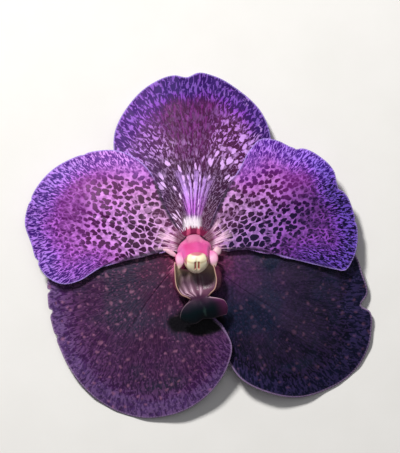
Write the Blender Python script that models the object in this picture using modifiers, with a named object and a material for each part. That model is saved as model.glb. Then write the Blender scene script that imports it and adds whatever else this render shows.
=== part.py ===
"""One vanda orchid bloom, picked and laid face up on a table.

Three sepals form the back whorl and reach down to the table at their tips. Two petals and the
lip form the front whorl, over the sepals. All of them stand round the top of the ovary, which
runs down behind the face and bends away under it as the flower stalk. The column rises from the
middle, with the anther cap on its end and the pollinia under the cap.

Places are written in millimetres on a bloom BLOOM_SPAN across: x to the right and y up the
bloom's face from its middle, z up from the table. UNIT turns them into metres.
"""

import math
from dataclasses import dataclass, field

import bmesh
import bpy
import numpy as np
from mathutils import Matrix, Vector

# Driving dimensions
BLOOM_SPAN = 110.0  # across the bloom, in millimetres, as every other place and size below
UNIT = 0.110 / BLOOM_SPAN
BLOOM_MIDDLE = (-2.41, -1.53)  # puts the middle of the outline, not the column, over the origin

# The middle of the flower, where everything is joined
HUB_RADIUS = 4.7
SEAT_GAP = 0.3
CLAW_RADIUS = HUB_RADIUS + SEAT_GAP
HUB_TOP = 15.0
PETAL_LEVEL = 17.0

# The blades
SEPAL_THICKNESS = 0.9
PETAL_THICKNESS = 0.8
LIP_THICKNESS = 0.9
RESTING_RIM = 0.6  # height of a sepal's upper face at the rim point that rests on the table
VEIN_BEND = 0.34  # share of its length that a vein runs before it bends towards the rim
STEPS_BETWEEN_RIM_POINTS = 2
STEPS_OUT_TO_RIM = 8


@dataclass
class Tepal:
    """A sepal or a petal: a thin blade that fans out from a claw at the hub to its rim."""

    name: str
    rim: list  # points round the rim, anticlockwise, from one side of the claw to the other
    claw_angle: float  # where the claw stands round the hub, in degrees
    claw_spread: float  # how much of the hub's circle the claw takes, in degrees
    level: float  # height of the claw's upper face
    lowest_rim: float  # height of the rim's upper face where it reaches lowest
    thickness: float
    colour: tuple
    waves: float = 4.0
    wave_phase: float = 0.0
    wave_height: float = 0.8
    lifts: list = field(default_factory=list)  # (x, y, radius, height) of gentle swellings


DORSAL_SEPAL = Tepal(
    name="dorsal_sepal",
    rim=[
        (9.5, 9.0), (16.5, 15.0), (22.3, 24.0), (24.8, 34.5), (22.3, 43.0), (15.5, 50.3),
        (7.5, 55.2), (2.2, 56.3), (-1.6, 54.7), (-5.2, 55.3), (-12.7, 52.6), (-20.0, 45.7),
        (-24.6, 36.5), (-23.8, 26.0), (-18.0, 16.8), (-9.5, 9.6),
    ],
    claw_angle=90.0,
    claw_spread=86.0,
    level=HUB_TOP,
    lowest_rim=RESTING_RIM,
    thickness=SEPAL_THICKNESS,
    colour=(0.20, 0.05, 0.30),
    wave_phase=0.6,
)

LEFT_PETAL = Tepal(
    name="left_petal",
    rim=[
        (-5.6, 8.2), (-9.5, 14.8), (-11.6, 20.8), (-14.1, 25.2), (-17.8, 28.6), (-23.5, 31.1),
        (-30.5, 31.1), (-37.5, 29.0),
        (-43.6, 25.6), (-48.6, 20.3), (-51.6, 14.2), (-52.7, 8.6), (-50.5, 1.5), (-49.2, -3.0),
        (-45.8, -8.3), (-40.6, -10.6), (-35.5, -9.4), (-30.0, -5.9), (-22.0, -3.4), (-14.0, -1.4),
        (-9.2, -0.2),
    ],
    claw_angle=154.0,
    claw_spread=64.0,
    level=PETAL_LEVEL,
    lowest_rim=5.4,
    thickness=PETAL_THICKNESS,
    colour=(0.32, 0.12, 0.52),
    wave_phase=1.9,
)

RIGHT_PETAL = Tepal(
    name="right_petal",
    rim=[
        (10.6, -0.4), (16.6, 0.3), (23.5, -0.9), (31.0, -2.8), (38.5, -4.6), (44.6, -6.0),
        (47.9, -6.4), (50.6, -2.8), (52.3, 4.4), (51.1, 11.6), (48.6, 17.3), (45.7, 20.4),
        (44.6, 24.8), (40.4, 29.3), (35.5, 31.9), (31.4, 32.3), (26.6, 34.4), (21.0, 34.8),
        (17.4, 31.2), (14.3, 25.6), (10.6, 20.0), (7.9, 14.8), (5.4, 9.4),
    ],
    claw_angle=27.0,
    claw_spread=66.0,
    level=PETAL_LEVEL,
    lowest_rim=7.2,
    thickness=PETAL_THICKNESS,
    colour=(0.32, 0.12, 0.52),
    wave_phase=0.4,
)

LEFT_LATERAL_SEPAL = Tepal(
    name="left_lateral_sepal",
    rim=[
        (-9.0, 0.6), (-20.0, 1.6), (-32.0, 0.6), (-41.0, -3.6), (-45.3, -9.0), (-45.5, -15.0),
        (-44.4, -22.5), (-42.0, -30.2), (-38.0, -38.2), (-31.9, -45.5), (-24.6, -50.5),
        (-15.5, -53.2), (-7.5, -52.4), (0.5, -49.0), (6.8, -43.5), (11.0, -36.2), (12.0, -29.6),
        (9.4, -24.6), (4.6, -20.2), (0.6, -14.6), (-1.2, -8.6),
    ],
    claw_angle=222.0,
    claw_spread=76.0,
    level=HUB_TOP,
    lowest_rim=RESTING_RIM,
    thickness=SEPAL_THICKNESS,
    colour=(0.10, 0.03, 0.12),
    wave_phase=2.6,
    lifts=[(9.5, -29.0, 13.0, 2.0), (-8.0, -53.0, 14.0, 0.9)],
)

RIGHT_LATERAL_SEPAL = Tepal(
    name="right_lateral_sepal",
    rim=[
        (2.4, -8.2), (4.7, -13.0), (5.9, -18.8), (7.6, -26.0), (10.6, -33.6), (15.0, -40.3),
        (24.0, -45.0), (34.0, -46.7), (43.5, -44.3), (50.6, -40.0), (55.2, -34.0), (57.4, -25.5),
        (56.7, -19.4), (53.8, -17.6), (55.9, -14.0), (54.2, -7.6), (51.8, -1.6), (47.5, 2.6),
        (38.0, 2.4), (27.0, 2.6), (17.0, 1.8), (9.2, 0.6),
    ],
    claw_angle=318.0,
    claw_spread=76.0,
    level=HUB_TOP,
    lowest_rim=RESTING_RIM,
    thickness=SEPAL_THICKNESS,
    colour=(0.09, 0.03, 0.12),
    wave_phase=0.9,
    lifts=[(9.5, -29.0, 13.0, -2.7), (46.0, 3.0, 10.0, -0.9)],
)

TEPALS = [DORSAL_SEPAL, LEFT_LATERAL_SEPAL, RIGHT_LATERAL_SEPAL, LEFT_PETAL, RIGHT_PETAL]

# The lip, as stations from its joint with the column to its tip. Each station gives the share
# of the way along, then y and z of the mid line, half the width, and the height of the sides.
# Its y starts from the middle of the cup.
LIP_STATIONS = np.array([
    (0.00, 4.0, 17.3, 5.4, 3.4),
    (0.12, 3.1, 16.6, 5.9, 4.6),
    (0.28, 0.2, 16.3, 6.5, 5.0),
    (0.42, -2.7, 16.9, 5.5, 4.4),
    (0.50, -4.1, 18.4, 3.5, 2.4),
    (0.56, -5.0, 19.8, 2.7, 0.8),
    (0.66, -6.2, 20.7, 5.0, -0.6),
    (0.77, -8.0, 20.8, 7.1, -1.8),
    (0.89, -9.9, 20.0, 7.6, -2.6),
    (1.00, -11.4, 18.5, 6.6, -2.8),
])
LIP_CUP_MIDDLE = (0.4, -9.7)
LIP_TURN = 10.0  # degrees that the lip leans to the right, seen from the front
LIP_SHOULDER_REACH = 3.3  # how far the side lobes reach back beside the column
LIP_SHOULDER_SHARE = 0.3
LIP_NECK_SHARE = 0.54
LIP_FRONT_TURN = 9.0  # degrees more that its front lobe leans, past the neck
LIP_FRONT_TURN_SHARE = 0.5  # share of the front lobe along which it takes up that lean
LIP_TIP_NOTCH = 1.6
LIP_TIP_NOTCH_WIDTH = 0.22
LIP_TIP_ROUNDING = 1.5
LIP_KEEL_HEIGHT = 0.7
LIP_KEEL_WIDTH = 0.13
LIP_COLOUR = (0.07, 0.02, 0.06)
LIP_STEPS_ALONG = 22
LIP_STEPS_ACROSS = 18
SPUR_RADII = (1.5, 1.5, 4.3)
SPUR_PLACE = (0.5, 0.6, 11.7)  # from the middle of the cup, but z from the table

# The column, along a curve from the hub to the anther
COLUMN_CURVE = np.array([(0.0, 0.0, HUB_TOP + SEAT_GAP), (0.0, 0.0, 19.5), (0.0, -3.0, 23.0)])
COLUMN_TURN = 3.0  # degrees that the column leans to the right
COLUMN_FOOT_RADIUS = HUB_RADIUS
COLUMN_END_RADIUS = 3.8
COLUMN_DEPTH_SHARE = 0.86  # front to back over side to side, at the anther end
COLUMN_END_SHARE = 0.14  # share of the ball's height that makes each flat end
COLUMN_COLOUR = (0.80, 0.12, 0.42)
STIGMA_RADII = (1.9, 1.3, 1.5)
STIGMA_SHARE = 0.7

# The anther cap, in the column's own frame at its end
CAP_RADII = (3.8, 3.6)
CAP_HEIGHT = 3.1
CAP_BASE_SHARE = 0.25  # share of the ball's height that makes the flat underside
CAP_SQUARENESS = 0.7
CAP_CAVITY_RADII = (2.8, 2.35, 2.5)
CAP_GROOVE_DEPTH = 0.35
CAP_GROOVE_WIDTH = 0.7
CAP_BEAK = 0.75
CAP_COLOUR = (0.86, 0.78, 0.45)

# The pollinia under the cap, each ball in the column's own frame at its end
POLLINIUM_RADII = (0.8, 0.8, 0.8)
POLLINIUM_PLACE = (0.95, 0.2, 1.1)
STRAP_RADII = (0.95, 0.42, 0.42)
STRAP_PLACE = (0.0, 0.1, 0.95)
STICKY_DISC_RADII = (0.5, 0.9, 0.42)
STICKY_DISC_PLACE = (0.0, -0.55, 0.85)
POLLEN_COLOUR = (0.90, 0.62, 0.08)

# The ovary and stalk, on one Bezier curve from the hub down and away under the face
STALK_CURVE = np.array([(0.0, 0.0, HUB_TOP), (0.0, 0.0, 2.4), (0.6, -10.0, 2.2), (3.4, -38.0, 2.1)])
OVARY_RADIUS = 2.3
OVARY_SHARE = 0.6
STALK_RADIUS = 1.45
HUB_FLARE_LENGTH = 1.3
STALK_RIBS = 6
STALK_RIB_DEPTH = 0.09
STALK_TWIST = math.pi  # the half turn that brings the lip to the bottom of the flower
STALK_POINTS = 26
STALK_POINT_SPREAD = 1.3  # above 1, the points crowd towards the hub
STALK_PROFILE_POINTS = 24
STALK_COLOUR = (0.62, 0.50, 0.62)

TABLE_CUTTER_SIZE = 160.0


def clear_scene():
    for obj in list(bpy.data.objects):
        bpy.data.objects.remove(obj)


def new_collection(name):
    collection = bpy.data.collections.new(name)
    bpy.context.scene.collection.children.link(collection)
    return collection


def plain_material(name, colour, roughness):
    material = bpy.data.materials.new(name)
    material.use_nodes = True
    shader = material.node_tree.nodes["Principled BSDF"]
    shader.inputs["Base Color"].default_value = (*colour, 1.0)
    shader.inputs["Roughness"].default_value = roughness
    shader.inputs["Metallic"].default_value = 0.0
    return material


def add_object(name, data, collection, parent=None, material=None):
    obj = bpy.data.objects.new(name, data)
    collection.objects.link(obj)
    obj.parent = parent
    if material:
        data.materials.append(material)
    return obj


def mesh_from(bm, name):
    mesh = bpy.data.meshes.new(name)
    bm.to_mesh(mesh)
    bm.free()
    return mesh


def smooth_line(points, steps):
    """A smooth curve through the points, with steps samples from each point to the next.

    Each span is a cubic whose slopes at its two ends are those of a parabola through the
    neighbouring points, with distance measured along the chords.
    """
    points = np.asarray(points, float)
    chords = np.linalg.norm(np.diff(points, axis=0), axis=1)
    along = np.concatenate([[0.0], np.cumsum(chords)])
    slopes = np.gradient(points, along, axis=0, edge_order=2)
    samples = []
    for i, chord in enumerate(chords):
        t = (np.arange(steps) / steps)[:, None]
        samples.append(
            (2 * t**3 - 3 * t**2 + 1) * points[i]
            + (t**3 - 2 * t**2 + t) * chord * slopes[i]
            + (3 * t**2 - 2 * t**3) * points[i + 1]
            + (t**3 - t**2) * chord * slopes[i + 1]
        )
    return np.vstack([*samples, points[-1:]])


def grid_surface(name, grid):
    """An open sheet through a grid of points, each of its squares split in two the same way."""
    columns, rows = grid.shape[0] - 1, grid.shape[1] - 1
    bm = bmesh.new()
    bmesh.ops.create_grid(bm, x_segments=columns, y_segments=rows, size=0.5)
    for vertex in bm.verts:
        i = round((vertex.co.x + 0.5) * columns)
        j = round((vertex.co.y + 0.5) * rows)
        vertex.co = Vector(grid[i, j]) * UNIT
    bmesh.ops.triangulate(bm, faces=bm.faces[:], quad_method="FIXED")
    return mesh_from(bm, name)


def thicken(obj, thickness):
    """Gives an open sheet its thickness, on the side that faces the table."""
    modifier = obj.modifiers.new("thickness", "SOLIDIFY")
    modifier.thickness = thickness * UNIT
    modifier.offset = -1.0
    modifier.use_quality_normals = True


def tepal_grid(tepal):
    """Points of a tepal's upper face, from the claw out to the rim.

    In plan, the lines follow the veins: each is a Bezier curve that leaves the claw's arc on
    the hub in the claw's own direction and bends round to its point on the rim. In height, the
    blade falls away from the claw as the square of the distance from the bloom's middle, rises
    and falls gently towards the rim, and is scaled so that its rim's lowest point lies at
    lowest_rim.
    """
    rim = smooth_line(tepal.rim, STEPS_BETWEEN_RIM_POINTS)
    steps = np.linalg.norm(np.diff(rim, axis=0), axis=1)
    share = np.concatenate([[0.0], np.cumsum(steps)]) / steps.sum()
    angle = np.radians(tepal.claw_angle + tepal.claw_spread * (share - 0.5))
    claw = CLAW_RADIUS * np.column_stack([np.cos(angle), np.sin(angle)])
    heading = np.radians(tepal.claw_angle)
    reach = np.linalg.norm(rim - claw, axis=1)[:, None]
    bend = claw + VEIN_BEND * reach * (np.cos(heading), np.sin(heading))
    out = np.linspace(0.0, 1.0, STEPS_OUT_TO_RIM + 1)[:, None, None]
    plan = (1.0 - out) ** 2 * claw + 2.0 * out * (1.0 - out) * bend + out**2 * rim
    fall = (plan**2).sum(axis=2) - CLAW_RADIUS**2
    drop = fall / fall.max() * (tepal.level - tepal.lowest_rim)
    wave = np.sin(2 * math.pi * tepal.waves * share + tepal.wave_phase)
    drop -= tepal.wave_height * wave * out[:, :, 0] ** 3 * (reach / reach.max())[:, 0]
    for x, y, radius, height in tepal.lifts:
        drop -= height * np.exp(-((plan - (x, y)) ** 2).sum(axis=2) / radius**2) * out[:, :, 0] ** 2
    drop *= (tepal.level - tepal.lowest_rim) / drop.max()
    return np.dstack([plan, tepal.level - drop])


def make_tepal(tepal, collection, parent):
    mesh = grid_surface(tepal.name, tepal_grid(tepal))
    mesh.shade_smooth()
    material = plain_material(tepal.name, tepal.colour, 0.45)
    obj = add_object(tepal.name, mesh, collection, parent, material)
    thicken(obj, tepal.thickness)
    return obj


def lip_grid():
    """Points of the lip's upper face.

    Along its length it follows the stations. Across, it is a half ellipse: at each station the
    sides stand up as the walls of the cup or, past the neck, roll down as the wings of the
    front lobe, which has a keel along its middle. Behind, the walls reach back as the square of
    the distance across, beside the column.
    """
    share, y, z, half_width, side = smooth_line(LIP_STATIONS, 4).T
    along = np.linspace(0.0, 1.0, LIP_STEPS_ALONG + 1)
    y, z, half_width, side = (
        np.interp(along, share, values)[:, None] for values in (y, z, half_width, side)
    )
    across = np.linspace(-1.0, 1.0, LIP_STEPS_ACROSS + 1)[None, :]
    turn = across * math.pi / 2
    back = np.clip(1.0 - along[:, None] / LIP_SHOULDER_SHARE, 0.0, 1.0)
    front = np.clip((along[:, None] - LIP_NECK_SHARE) / (1.0 - LIP_NECK_SHARE), 0.0, 1.0)
    notch = LIP_TIP_NOTCH * np.exp(-((across / LIP_TIP_NOTCH_WIDTH) ** 2))
    keel = LIP_KEEL_HEIGHT * np.exp(-((across / LIP_KEEL_WIDTH) ** 2))
    neck = np.interp(LIP_NECK_SHARE, along, y[:, 0])
    x = half_width * np.sin(turn)
    y = y + front**3 * (notch + LIP_TIP_ROUNDING * across**4)
    y = y + LIP_SHOULDER_REACH * back * across**2
    z = z + side * (1.0 - np.cos(turn)) + keel * np.sin(math.pi * front)
    lean = np.radians(LIP_FRONT_TURN) * np.minimum(1.0, front / LIP_FRONT_TURN_SHARE)
    leaning_x = x * np.cos(lean) - (y - neck) * np.sin(lean)
    leaning_y = x * np.sin(lean) + (y - neck) * np.cos(lean)
    return np.dstack([leaning_x, leaning_y + neck, z])


def make_lip(collection, cutters, parent):
    """The lip: its cup with upright side lobes, its front lobe, and the spur behind the cup."""
    mesh = grid_surface("lip", lip_grid())
    mesh.shade_smooth()
    obj = add_object("lip", mesh, collection, parent, plain_material("lip", LIP_COLOUR, 0.3))
    thicken(obj, LIP_THICKNESS)
    spur_ball = ball(SPUR_RADII, SPUR_PLACE, segments=14, rings=10)
    spur = helper_mesh("spur", scaled_to_bloom(spur_ball), cutters, parent)
    combine(obj, spur, "UNION")
    for piece in (obj, spur):
        piece.location = (LIP_CUP_MIDDLE[0] * UNIT, LIP_CUP_MIDDLE[1] * UNIT, 0.0)
        piece.rotation_euler.z = math.radians(LIP_TURN)
    return obj


def column_point(share):
    """A point on the column's mid line and the line's direction there, on a Bezier curve."""
    start, bend, end = COLUMN_CURVE
    point = (1 - share) ** 2 * start + 2 * share * (1 - share) * bend + share**2 * end
    direction = (1 - share) * (bend - start) + share * (end - bend)
    return Vector(point), Vector(direction).normalized()


def column_frame(share):
    """The frame on the mid line: x to the right, y to the column's back, z along it."""
    point, direction = column_point(share)
    right = Vector((1.0, 0.0, 0.0))
    back = direction.cross(right)
    return Matrix.Translation(point) @ Matrix((right, back, direction)).transposed().to_4x4()


def ball(radii, centre=(0.0, 0.0, 0.0), segments=20, rings=12):
    """A ball or ellipsoid of these radii, as a new bmesh."""
    bm = bmesh.new()
    bmesh.ops.create_uvsphere(bm, u_segments=segments, v_segments=rings, radius=1.0)
    for vertex in bm.verts:
        vertex.co = Vector(radii) * vertex.co + Vector(centre)
    return bm


def scaled_to_bloom(bm, frame=None):
    """Moves a bmesh in millimetres into this frame, and into metres."""
    bm.transform(Matrix.Scale(UNIT, 4) @ (frame or Matrix.Identity(4)))
    return bm


def helper_mesh(name, bm, collection, parent):
    obj = add_object(name, mesh_from(bm, name), collection, parent)
    obj.hide_render = True
    obj.display_type = "WIRE"
    return obj


def combine(obj, other, operation):
    modifier = obj.modifiers.new(operation.lower(), "BOOLEAN")
    modifier.operation = operation
    modifier.object = other
    modifier.solver = "EXACT"


def ball_height_and_turn(place):
    """How far up a ball's meridian a point lies, from 0 to 1, and its angle round the ball."""
    height = math.acos(max(-1.0, min(1.0, -place.z))) / math.pi
    return height, math.atan2(place.y, place.x)


def make_column(collection, cutters, parent):
    """The column: rings of a ball drawn out along the mid line, flat at the foot and the end.

    The stigma is a hollow in its front, below the anther cap.
    """
    bm = ball((1.0, 1.0, 1.0), segments=28, rings=14)
    ends = [COLUMN_END_SHARE, 1.0 - COLUMN_END_SHARE]
    for vertex in bm.verts:
        height, turn = ball_height_and_turn(vertex.co)
        radius = np.interp(height, [0.0, *ends, 1.0], [0.0, 1.0, 1.0, 0.0])
        share = float(np.interp(height, ends, [0.0, 1.0]))
        width = COLUMN_FOOT_RADIUS + (COLUMN_END_RADIUS - COLUMN_FOOT_RADIUS) * share
        depth = width * (1.0 + (COLUMN_DEPTH_SHARE - 1.0) * share)
        place = Vector((width * radius * math.cos(turn), depth * radius * math.sin(turn), 0.0))
        vertex.co = column_frame(share) @ place
    mesh = mesh_from(scaled_to_bloom(bm), "column")
    mesh.shade_smooth()
    material = plain_material("column", COLUMN_COLOUR, 0.4)
    obj = add_object("column", mesh, collection, parent, material)
    front = (0.0, -COLUMN_FOOT_RADIUS * COLUMN_DEPTH_SHARE, 0.0)
    stigma_ball = scaled_to_bloom(ball(STIGMA_RADII, front), column_frame(STIGMA_SHARE))
    stigma = helper_mesh("stigma", stigma_ball, cutters, parent)
    combine(obj, stigma, "DIFFERENCE")
    for piece in (obj, stigma):
        piece.rotation_euler.z = math.radians(COLUMN_TURN)
    return obj


def make_cap(collection, cutters, parent):
    """The anther cap: a hollow helmet with a groove over its middle and a short beak in front."""
    bm = ball((1.0, 1.0, 1.0), segments=28, rings=16)
    for vertex in bm.verts:
        height, turn = ball_height_and_turn(vertex.co)
        dome = max(0.0, (height - CAP_BASE_SHARE) / (1.0 - CAP_BASE_SHARE)) * math.pi / 2
        radius = min(1.0, height / CAP_BASE_SHARE) * math.cos(dome) ** CAP_SQUARENESS
        beak = CAP_BEAK * max(0.0, -math.sin(turn)) ** 4
        x = CAP_RADII[0] * radius * math.cos(turn)
        y = CAP_RADII[1] * radius * math.sin(turn) - beak * radius
        groove = CAP_GROOVE_DEPTH * math.exp(-((x / CAP_GROOVE_WIDTH) ** 2))
        vertex.co = Vector((x, y, SEAT_GAP + (CAP_HEIGHT - groove) * math.sin(dome)))
    frame = column_frame(1.0)
    mesh = mesh_from(scaled_to_bloom(bm, frame), "anther_cap")
    mesh.shade_smooth()
    material = plain_material("anther_cap", CAP_COLOUR, 0.35)
    obj = add_object("anther_cap", mesh, collection, parent, material)
    hollow_ball = scaled_to_bloom(ball(CAP_CAVITY_RADII), frame)
    hollow = helper_mesh("cap_hollow", hollow_ball, cutters, parent)
    combine(obj, hollow, "DIFFERENCE")
    for piece in (obj, hollow):
        piece.rotation_euler.z = math.radians(COLUMN_TURN)
    return obj


def make_pollinia(collection, cutters, parent):
    """Two balls of pollen on one strap, with the sticky disc at its front end."""
    frame = column_frame(1.0)
    x, y, z = POLLINIUM_PLACE
    first = ball(POLLINIUM_RADII, (-x, y, z), segments=12, rings=8)
    mesh = mesh_from(scaled_to_bloom(first, frame), "pollinia")
    mesh.shade_smooth()
    material = plain_material("pollinia", POLLEN_COLOUR, 0.5)
    obj = add_object("pollinia", mesh, collection, parent, material)
    obj.rotation_euler.z = math.radians(COLUMN_TURN)
    joined_balls = {
        "second_pollinium": (POLLINIUM_RADII, POLLINIUM_PLACE),
        "strap": (STRAP_RADII, STRAP_PLACE),
        "sticky_disc": (STICKY_DISC_RADII, STICKY_DISC_PLACE),
    }
    for name, (radii, place) in joined_balls.items():
        joined = scaled_to_bloom(ball(radii, place, segments=12, rings=8), frame)
        helper = helper_mesh(name, joined, cutters, parent)
        helper.rotation_euler.z = math.radians(COLUMN_TURN)
        combine(obj, helper, "UNION")
    return obj


def make_stalk(collection, cutters, parent):
    """The ovary and flower stalk: a ribbed profile drawn along the curve and twisted half round."""
    turn = -np.linspace(0.0, 2 * math.pi, STALK_PROFILE_POINTS, endpoint=False)
    ribbed = 1.0 - STALK_RIB_DEPTH * (1.0 - np.cos(STALK_RIBS * turn)) / 2
    profile = bpy.data.curves.new("stalk_profile", "CURVE")
    profile.dimensions = "2D"
    outline = profile.splines.new("POLY")
    outline.points.add(STALK_PROFILE_POINTS - 1)
    for point, radius, angle in zip(outline.points, ribbed, turn):
        point.co = (radius * math.cos(angle), radius * math.sin(angle), 0.0, 1.0)
    outline.use_cyclic_u = True
    guide = add_object("stalk_profile", profile, cutters)
    guide.hide_render = True

    curve = bpy.data.curves.new("stalk", "CURVE")
    curve.dimensions = "3D"
    curve.bevel_mode = "OBJECT"
    curve.bevel_object = guide
    curve.use_fill_caps = True
    spline = curve.splines.new("POLY")
    spline.points.add(STALK_POINTS - 1)
    a, b, c, d = STALK_CURVE
    shares = np.linspace(0.0, 1.0, STALK_POINTS) ** STALK_POINT_SPREAD
    for point, share in zip(spline.points, shares):
        rest = 1.0 - share
        place = rest**3 * a + 3 * rest**2 * share * b + 3 * rest * share**2 * c + share**3 * d
        swell = 0.5 + 0.5 * math.cos(math.pi * min(1.0, share / OVARY_SHARE))
        flare = math.exp(-(((HUB_TOP - place[2]) / HUB_FLARE_LENGTH) ** 2))
        radius = STALK_RADIUS + (OVARY_RADIUS - STALK_RADIUS) * swell
        radius += (HUB_RADIUS - OVARY_RADIUS) * flare
        point.co = (*(place * UNIT), 1.0)
        point.radius = radius * UNIT
        point.tilt = STALK_TWIST * share
    obj = add_object("ovary_stalk", curve, collection, parent)
    curve.materials.append(plain_material("ovary_stalk", STALK_COLOUR, 0.5))
    return obj


def rest_on_table(objects, cutters, parent):
    """Trims each sepal's lowest rim flat where it meets the table."""
    bm = bmesh.new()
    bmesh.ops.create_cube(bm, size=TABLE_CUTTER_SIZE)
    bm.transform(Matrix.Translation((0.0, 0.0, -TABLE_CUTTER_SIZE / 2)))
    table = helper_mesh("table_cutter", scaled_to_bloom(bm), cutters, parent)
    for obj in objects:
        combine(obj, table, "DIFFERENCE")


def main():
    clear_scene()
    bloom = new_collection("vanda_orchid")
    cutters = new_collection("cutters")
    middle = add_object("bloom_middle", None, bloom)
    middle.location = (BLOOM_MIDDLE[0] * UNIT, BLOOM_MIDDLE[1] * UNIT, 0.0)
    tepals = {tepal.name: make_tepal(tepal, bloom, middle) for tepal in TEPALS}
    sepals = [obj for name, obj in tepals.items() if name.endswith("sepal")]
    rest_on_table(sepals, cutters, middle)
    make_lip(bloom, cutters, middle)
    make_column(bloom, cutters, middle)
    make_cap(bloom, cutters, middle)
    make_pollinia(bloom, cutters, middle)
    make_stalk(bloom, cutters, middle)


main()
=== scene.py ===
# %% [markdown]
# # A vanda orchid bloom, from its solids to its finish
# A vanda bloom is five broad blades, three sepals and two petals, round a short column with a
# small pouched lip below it. The solids of the bloom are already packed; this lesson loads
# them, and puts a finer surface in the place of each one. The solids stay as the frame that
# every finer surface has to keep to, so the first step is to load them and keep their box.

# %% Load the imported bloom
import math

import bpy
import numpy as np
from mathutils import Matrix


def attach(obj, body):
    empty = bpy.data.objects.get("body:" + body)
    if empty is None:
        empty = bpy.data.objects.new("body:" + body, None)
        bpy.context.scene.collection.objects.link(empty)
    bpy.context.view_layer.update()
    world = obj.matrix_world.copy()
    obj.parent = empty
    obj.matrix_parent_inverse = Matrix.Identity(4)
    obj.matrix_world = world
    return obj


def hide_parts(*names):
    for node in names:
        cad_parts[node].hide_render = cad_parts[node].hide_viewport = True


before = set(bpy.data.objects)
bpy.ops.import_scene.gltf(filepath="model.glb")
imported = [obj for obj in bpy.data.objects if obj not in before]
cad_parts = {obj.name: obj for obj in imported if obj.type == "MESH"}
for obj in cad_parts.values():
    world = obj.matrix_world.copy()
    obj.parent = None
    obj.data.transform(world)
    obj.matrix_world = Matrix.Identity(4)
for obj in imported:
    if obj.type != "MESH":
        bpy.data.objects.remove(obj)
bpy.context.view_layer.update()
print("nodes:", ", ".join(sorted(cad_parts)))

# %% [markdown]
# Every place below is in millimetres from the middle of the column: x to the right, y up the
# face of the bloom and z up from the table that it lies on. Blender works in metres and the
# bloom's outline is centred on its origin, so one small function makes that move for all.

# %% Millimetres on the bloom to metres in the scene
BLOOM_MIDDLE = np.array([-2.41, -1.53, 0.0])


def in_metres(points):
    """The same points moved so that the outline's middle is the origin, and scaled to metres."""
    return (np.asarray(points, float) + BLOOM_MIDDLE) * 0.001


print("the column's middle in metres:", in_metres([0.0, 0.0, 0.0]).round(5).tolist())

# %% [markdown]
# A blade's outline is known as a few points of its rim. The curve between them is a Hermite
# cubic: it passes through both points, and its slope at each is that of the parabola through
# the neighbours. The same curve gives the lip its stations. It is then measured along its
# length, so that the points of the finished grid can be spread evenly over it. A curve object
# could hold the same line, but the next steps need its points as an array.

# %% Smooth lines through points


def smooth_line(points, steps):
    """Hermite cubics through the points: weights 2t^3-3t^2+1 and 3t^2-2t^3 for the two ends,
    t^3-2t^2+t and t^3-t^2 for their slopes, with steps samples in each span."""
    points = np.asarray(points, float)
    chords = np.linalg.norm(np.diff(points, axis=0), axis=1)[:, None, None]
    along = np.concatenate([[0.0], np.cumsum(chords)])
    slopes = np.gradient(points, along, axis=0, edge_order=2)
    t = (np.arange(steps) / steps)[None, :, None]
    spans = (
        (2 * t**3 - 3 * t**2 + 1) * points[:-1, None]
        + (t**3 - 2 * t**2 + t) * chords * slopes[:-1, None]
        + (3 * t**2 - 2 * t**3) * points[1:, None]
        + (t**3 - t**2) * chords * slopes[1:, None]
    )
    return np.vstack([spans.reshape(-1, points.shape[1]), points[-1:]])


def evenly_spaced(line, count):
    """The line again as count points, with the same length of line between neighbours."""
    reached = np.concatenate([[0.0], np.cumsum(np.linalg.norm(np.diff(line, axis=0), axis=1))])
    wanted = np.linspace(0.0, reached[-1], count)
    return np.column_stack([np.interp(wanted, reached, axis) for axis in line.T])


def eased(value, start, stop):
    """0 before start, 1 after stop, and t^2 (3 - 2t) between them."""
    t = np.clip((value - start) / (stop - start), 0.0, 1.0)
    return t * t * (3.0 - 2.0 * t)


print("eased at a quarter of the way:", eased(0.25, 0.0, 1.0))

# %% [markdown]
# Every piece is made from arrays: its points, its faces and a few numbers at each point, such
# as how far the rim is, which the materials read as attributes. Blender's editing tools could
# build the same meshes by hand, but from arrays a formula turns straight into a shape.

# %% A mesh from arrays
BODY = "root"
print("every piece rides on:", BODY)


def add_piece(name, points, faces, marks, stands_for):
    """A mesh object from arrays: points in millimetres, faces of three or four corners (a
    fourth corner below 0 means a triangle), and marks, one number a point under each name.
    Where the faces enclose less than no volume they point inwards, and all are turned round."""
    corner = np.asarray(faces)
    place = in_metres(points)
    a, b, c = (place[corner[:, k]] for k in range(3))
    d = np.where(corner[:, 3:] >= 0, place[corner[:, 3]], c)
    volume = (np.cross(b - a, c - a) * a).sum() + (np.cross(c - a, d - a) * a).sum()
    if volume < 0.0:
        corner = np.where(corner[:, 3:] >= 0, corner[:, ::-1], corner[:, [2, 1, 0, 3]])
    four = corner[:, 3] >= 0
    sizes = np.where(four, 4, 3)
    mesh = bpy.data.meshes.new(name)
    mesh.vertices.add(len(place))
    mesh.vertices.foreach_set("co", place.astype(np.float32).ravel())
    flat = corner.ravel()[np.column_stack([np.ones((len(corner), 3), bool), four]).ravel()]
    mesh.loops.add(len(flat))
    mesh.loops.foreach_set("vertex_index", flat.astype(np.int32))
    mesh.polygons.add(len(sizes))
    mesh.polygons.foreach_set("loop_start", np.concatenate([[0], np.cumsum(sizes)[:-1]]))
    mesh.update(calc_edges=True)
    mesh.shade_smooth()
    for mark, values in marks.items():
        attribute = mesh.attributes.new(mark, "FLOAT", "POINT")
        attribute.data.foreach_set("value", np.asarray(values, np.float32).ravel())
    piece = bpy.data.objects.new(name, mesh)
    bpy.context.scene.collection.objects.link(piece)
    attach(piece, BODY)
    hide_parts(*stands_for)
    print(f"{name}: {len(place)} points, {int((sizes - 2).sum())} triangles")
    return piece


# %% [markdown]
# A blade is a sheet: the grid of its upper face, the same grid moved down its normals by the
# thickness, and a strip of faces round the edge. The Solidify modifier could do much the same;
# with arrays each point has a thickness of its own, so the rim can be thin and round.

# %% A closed sheet


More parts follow.
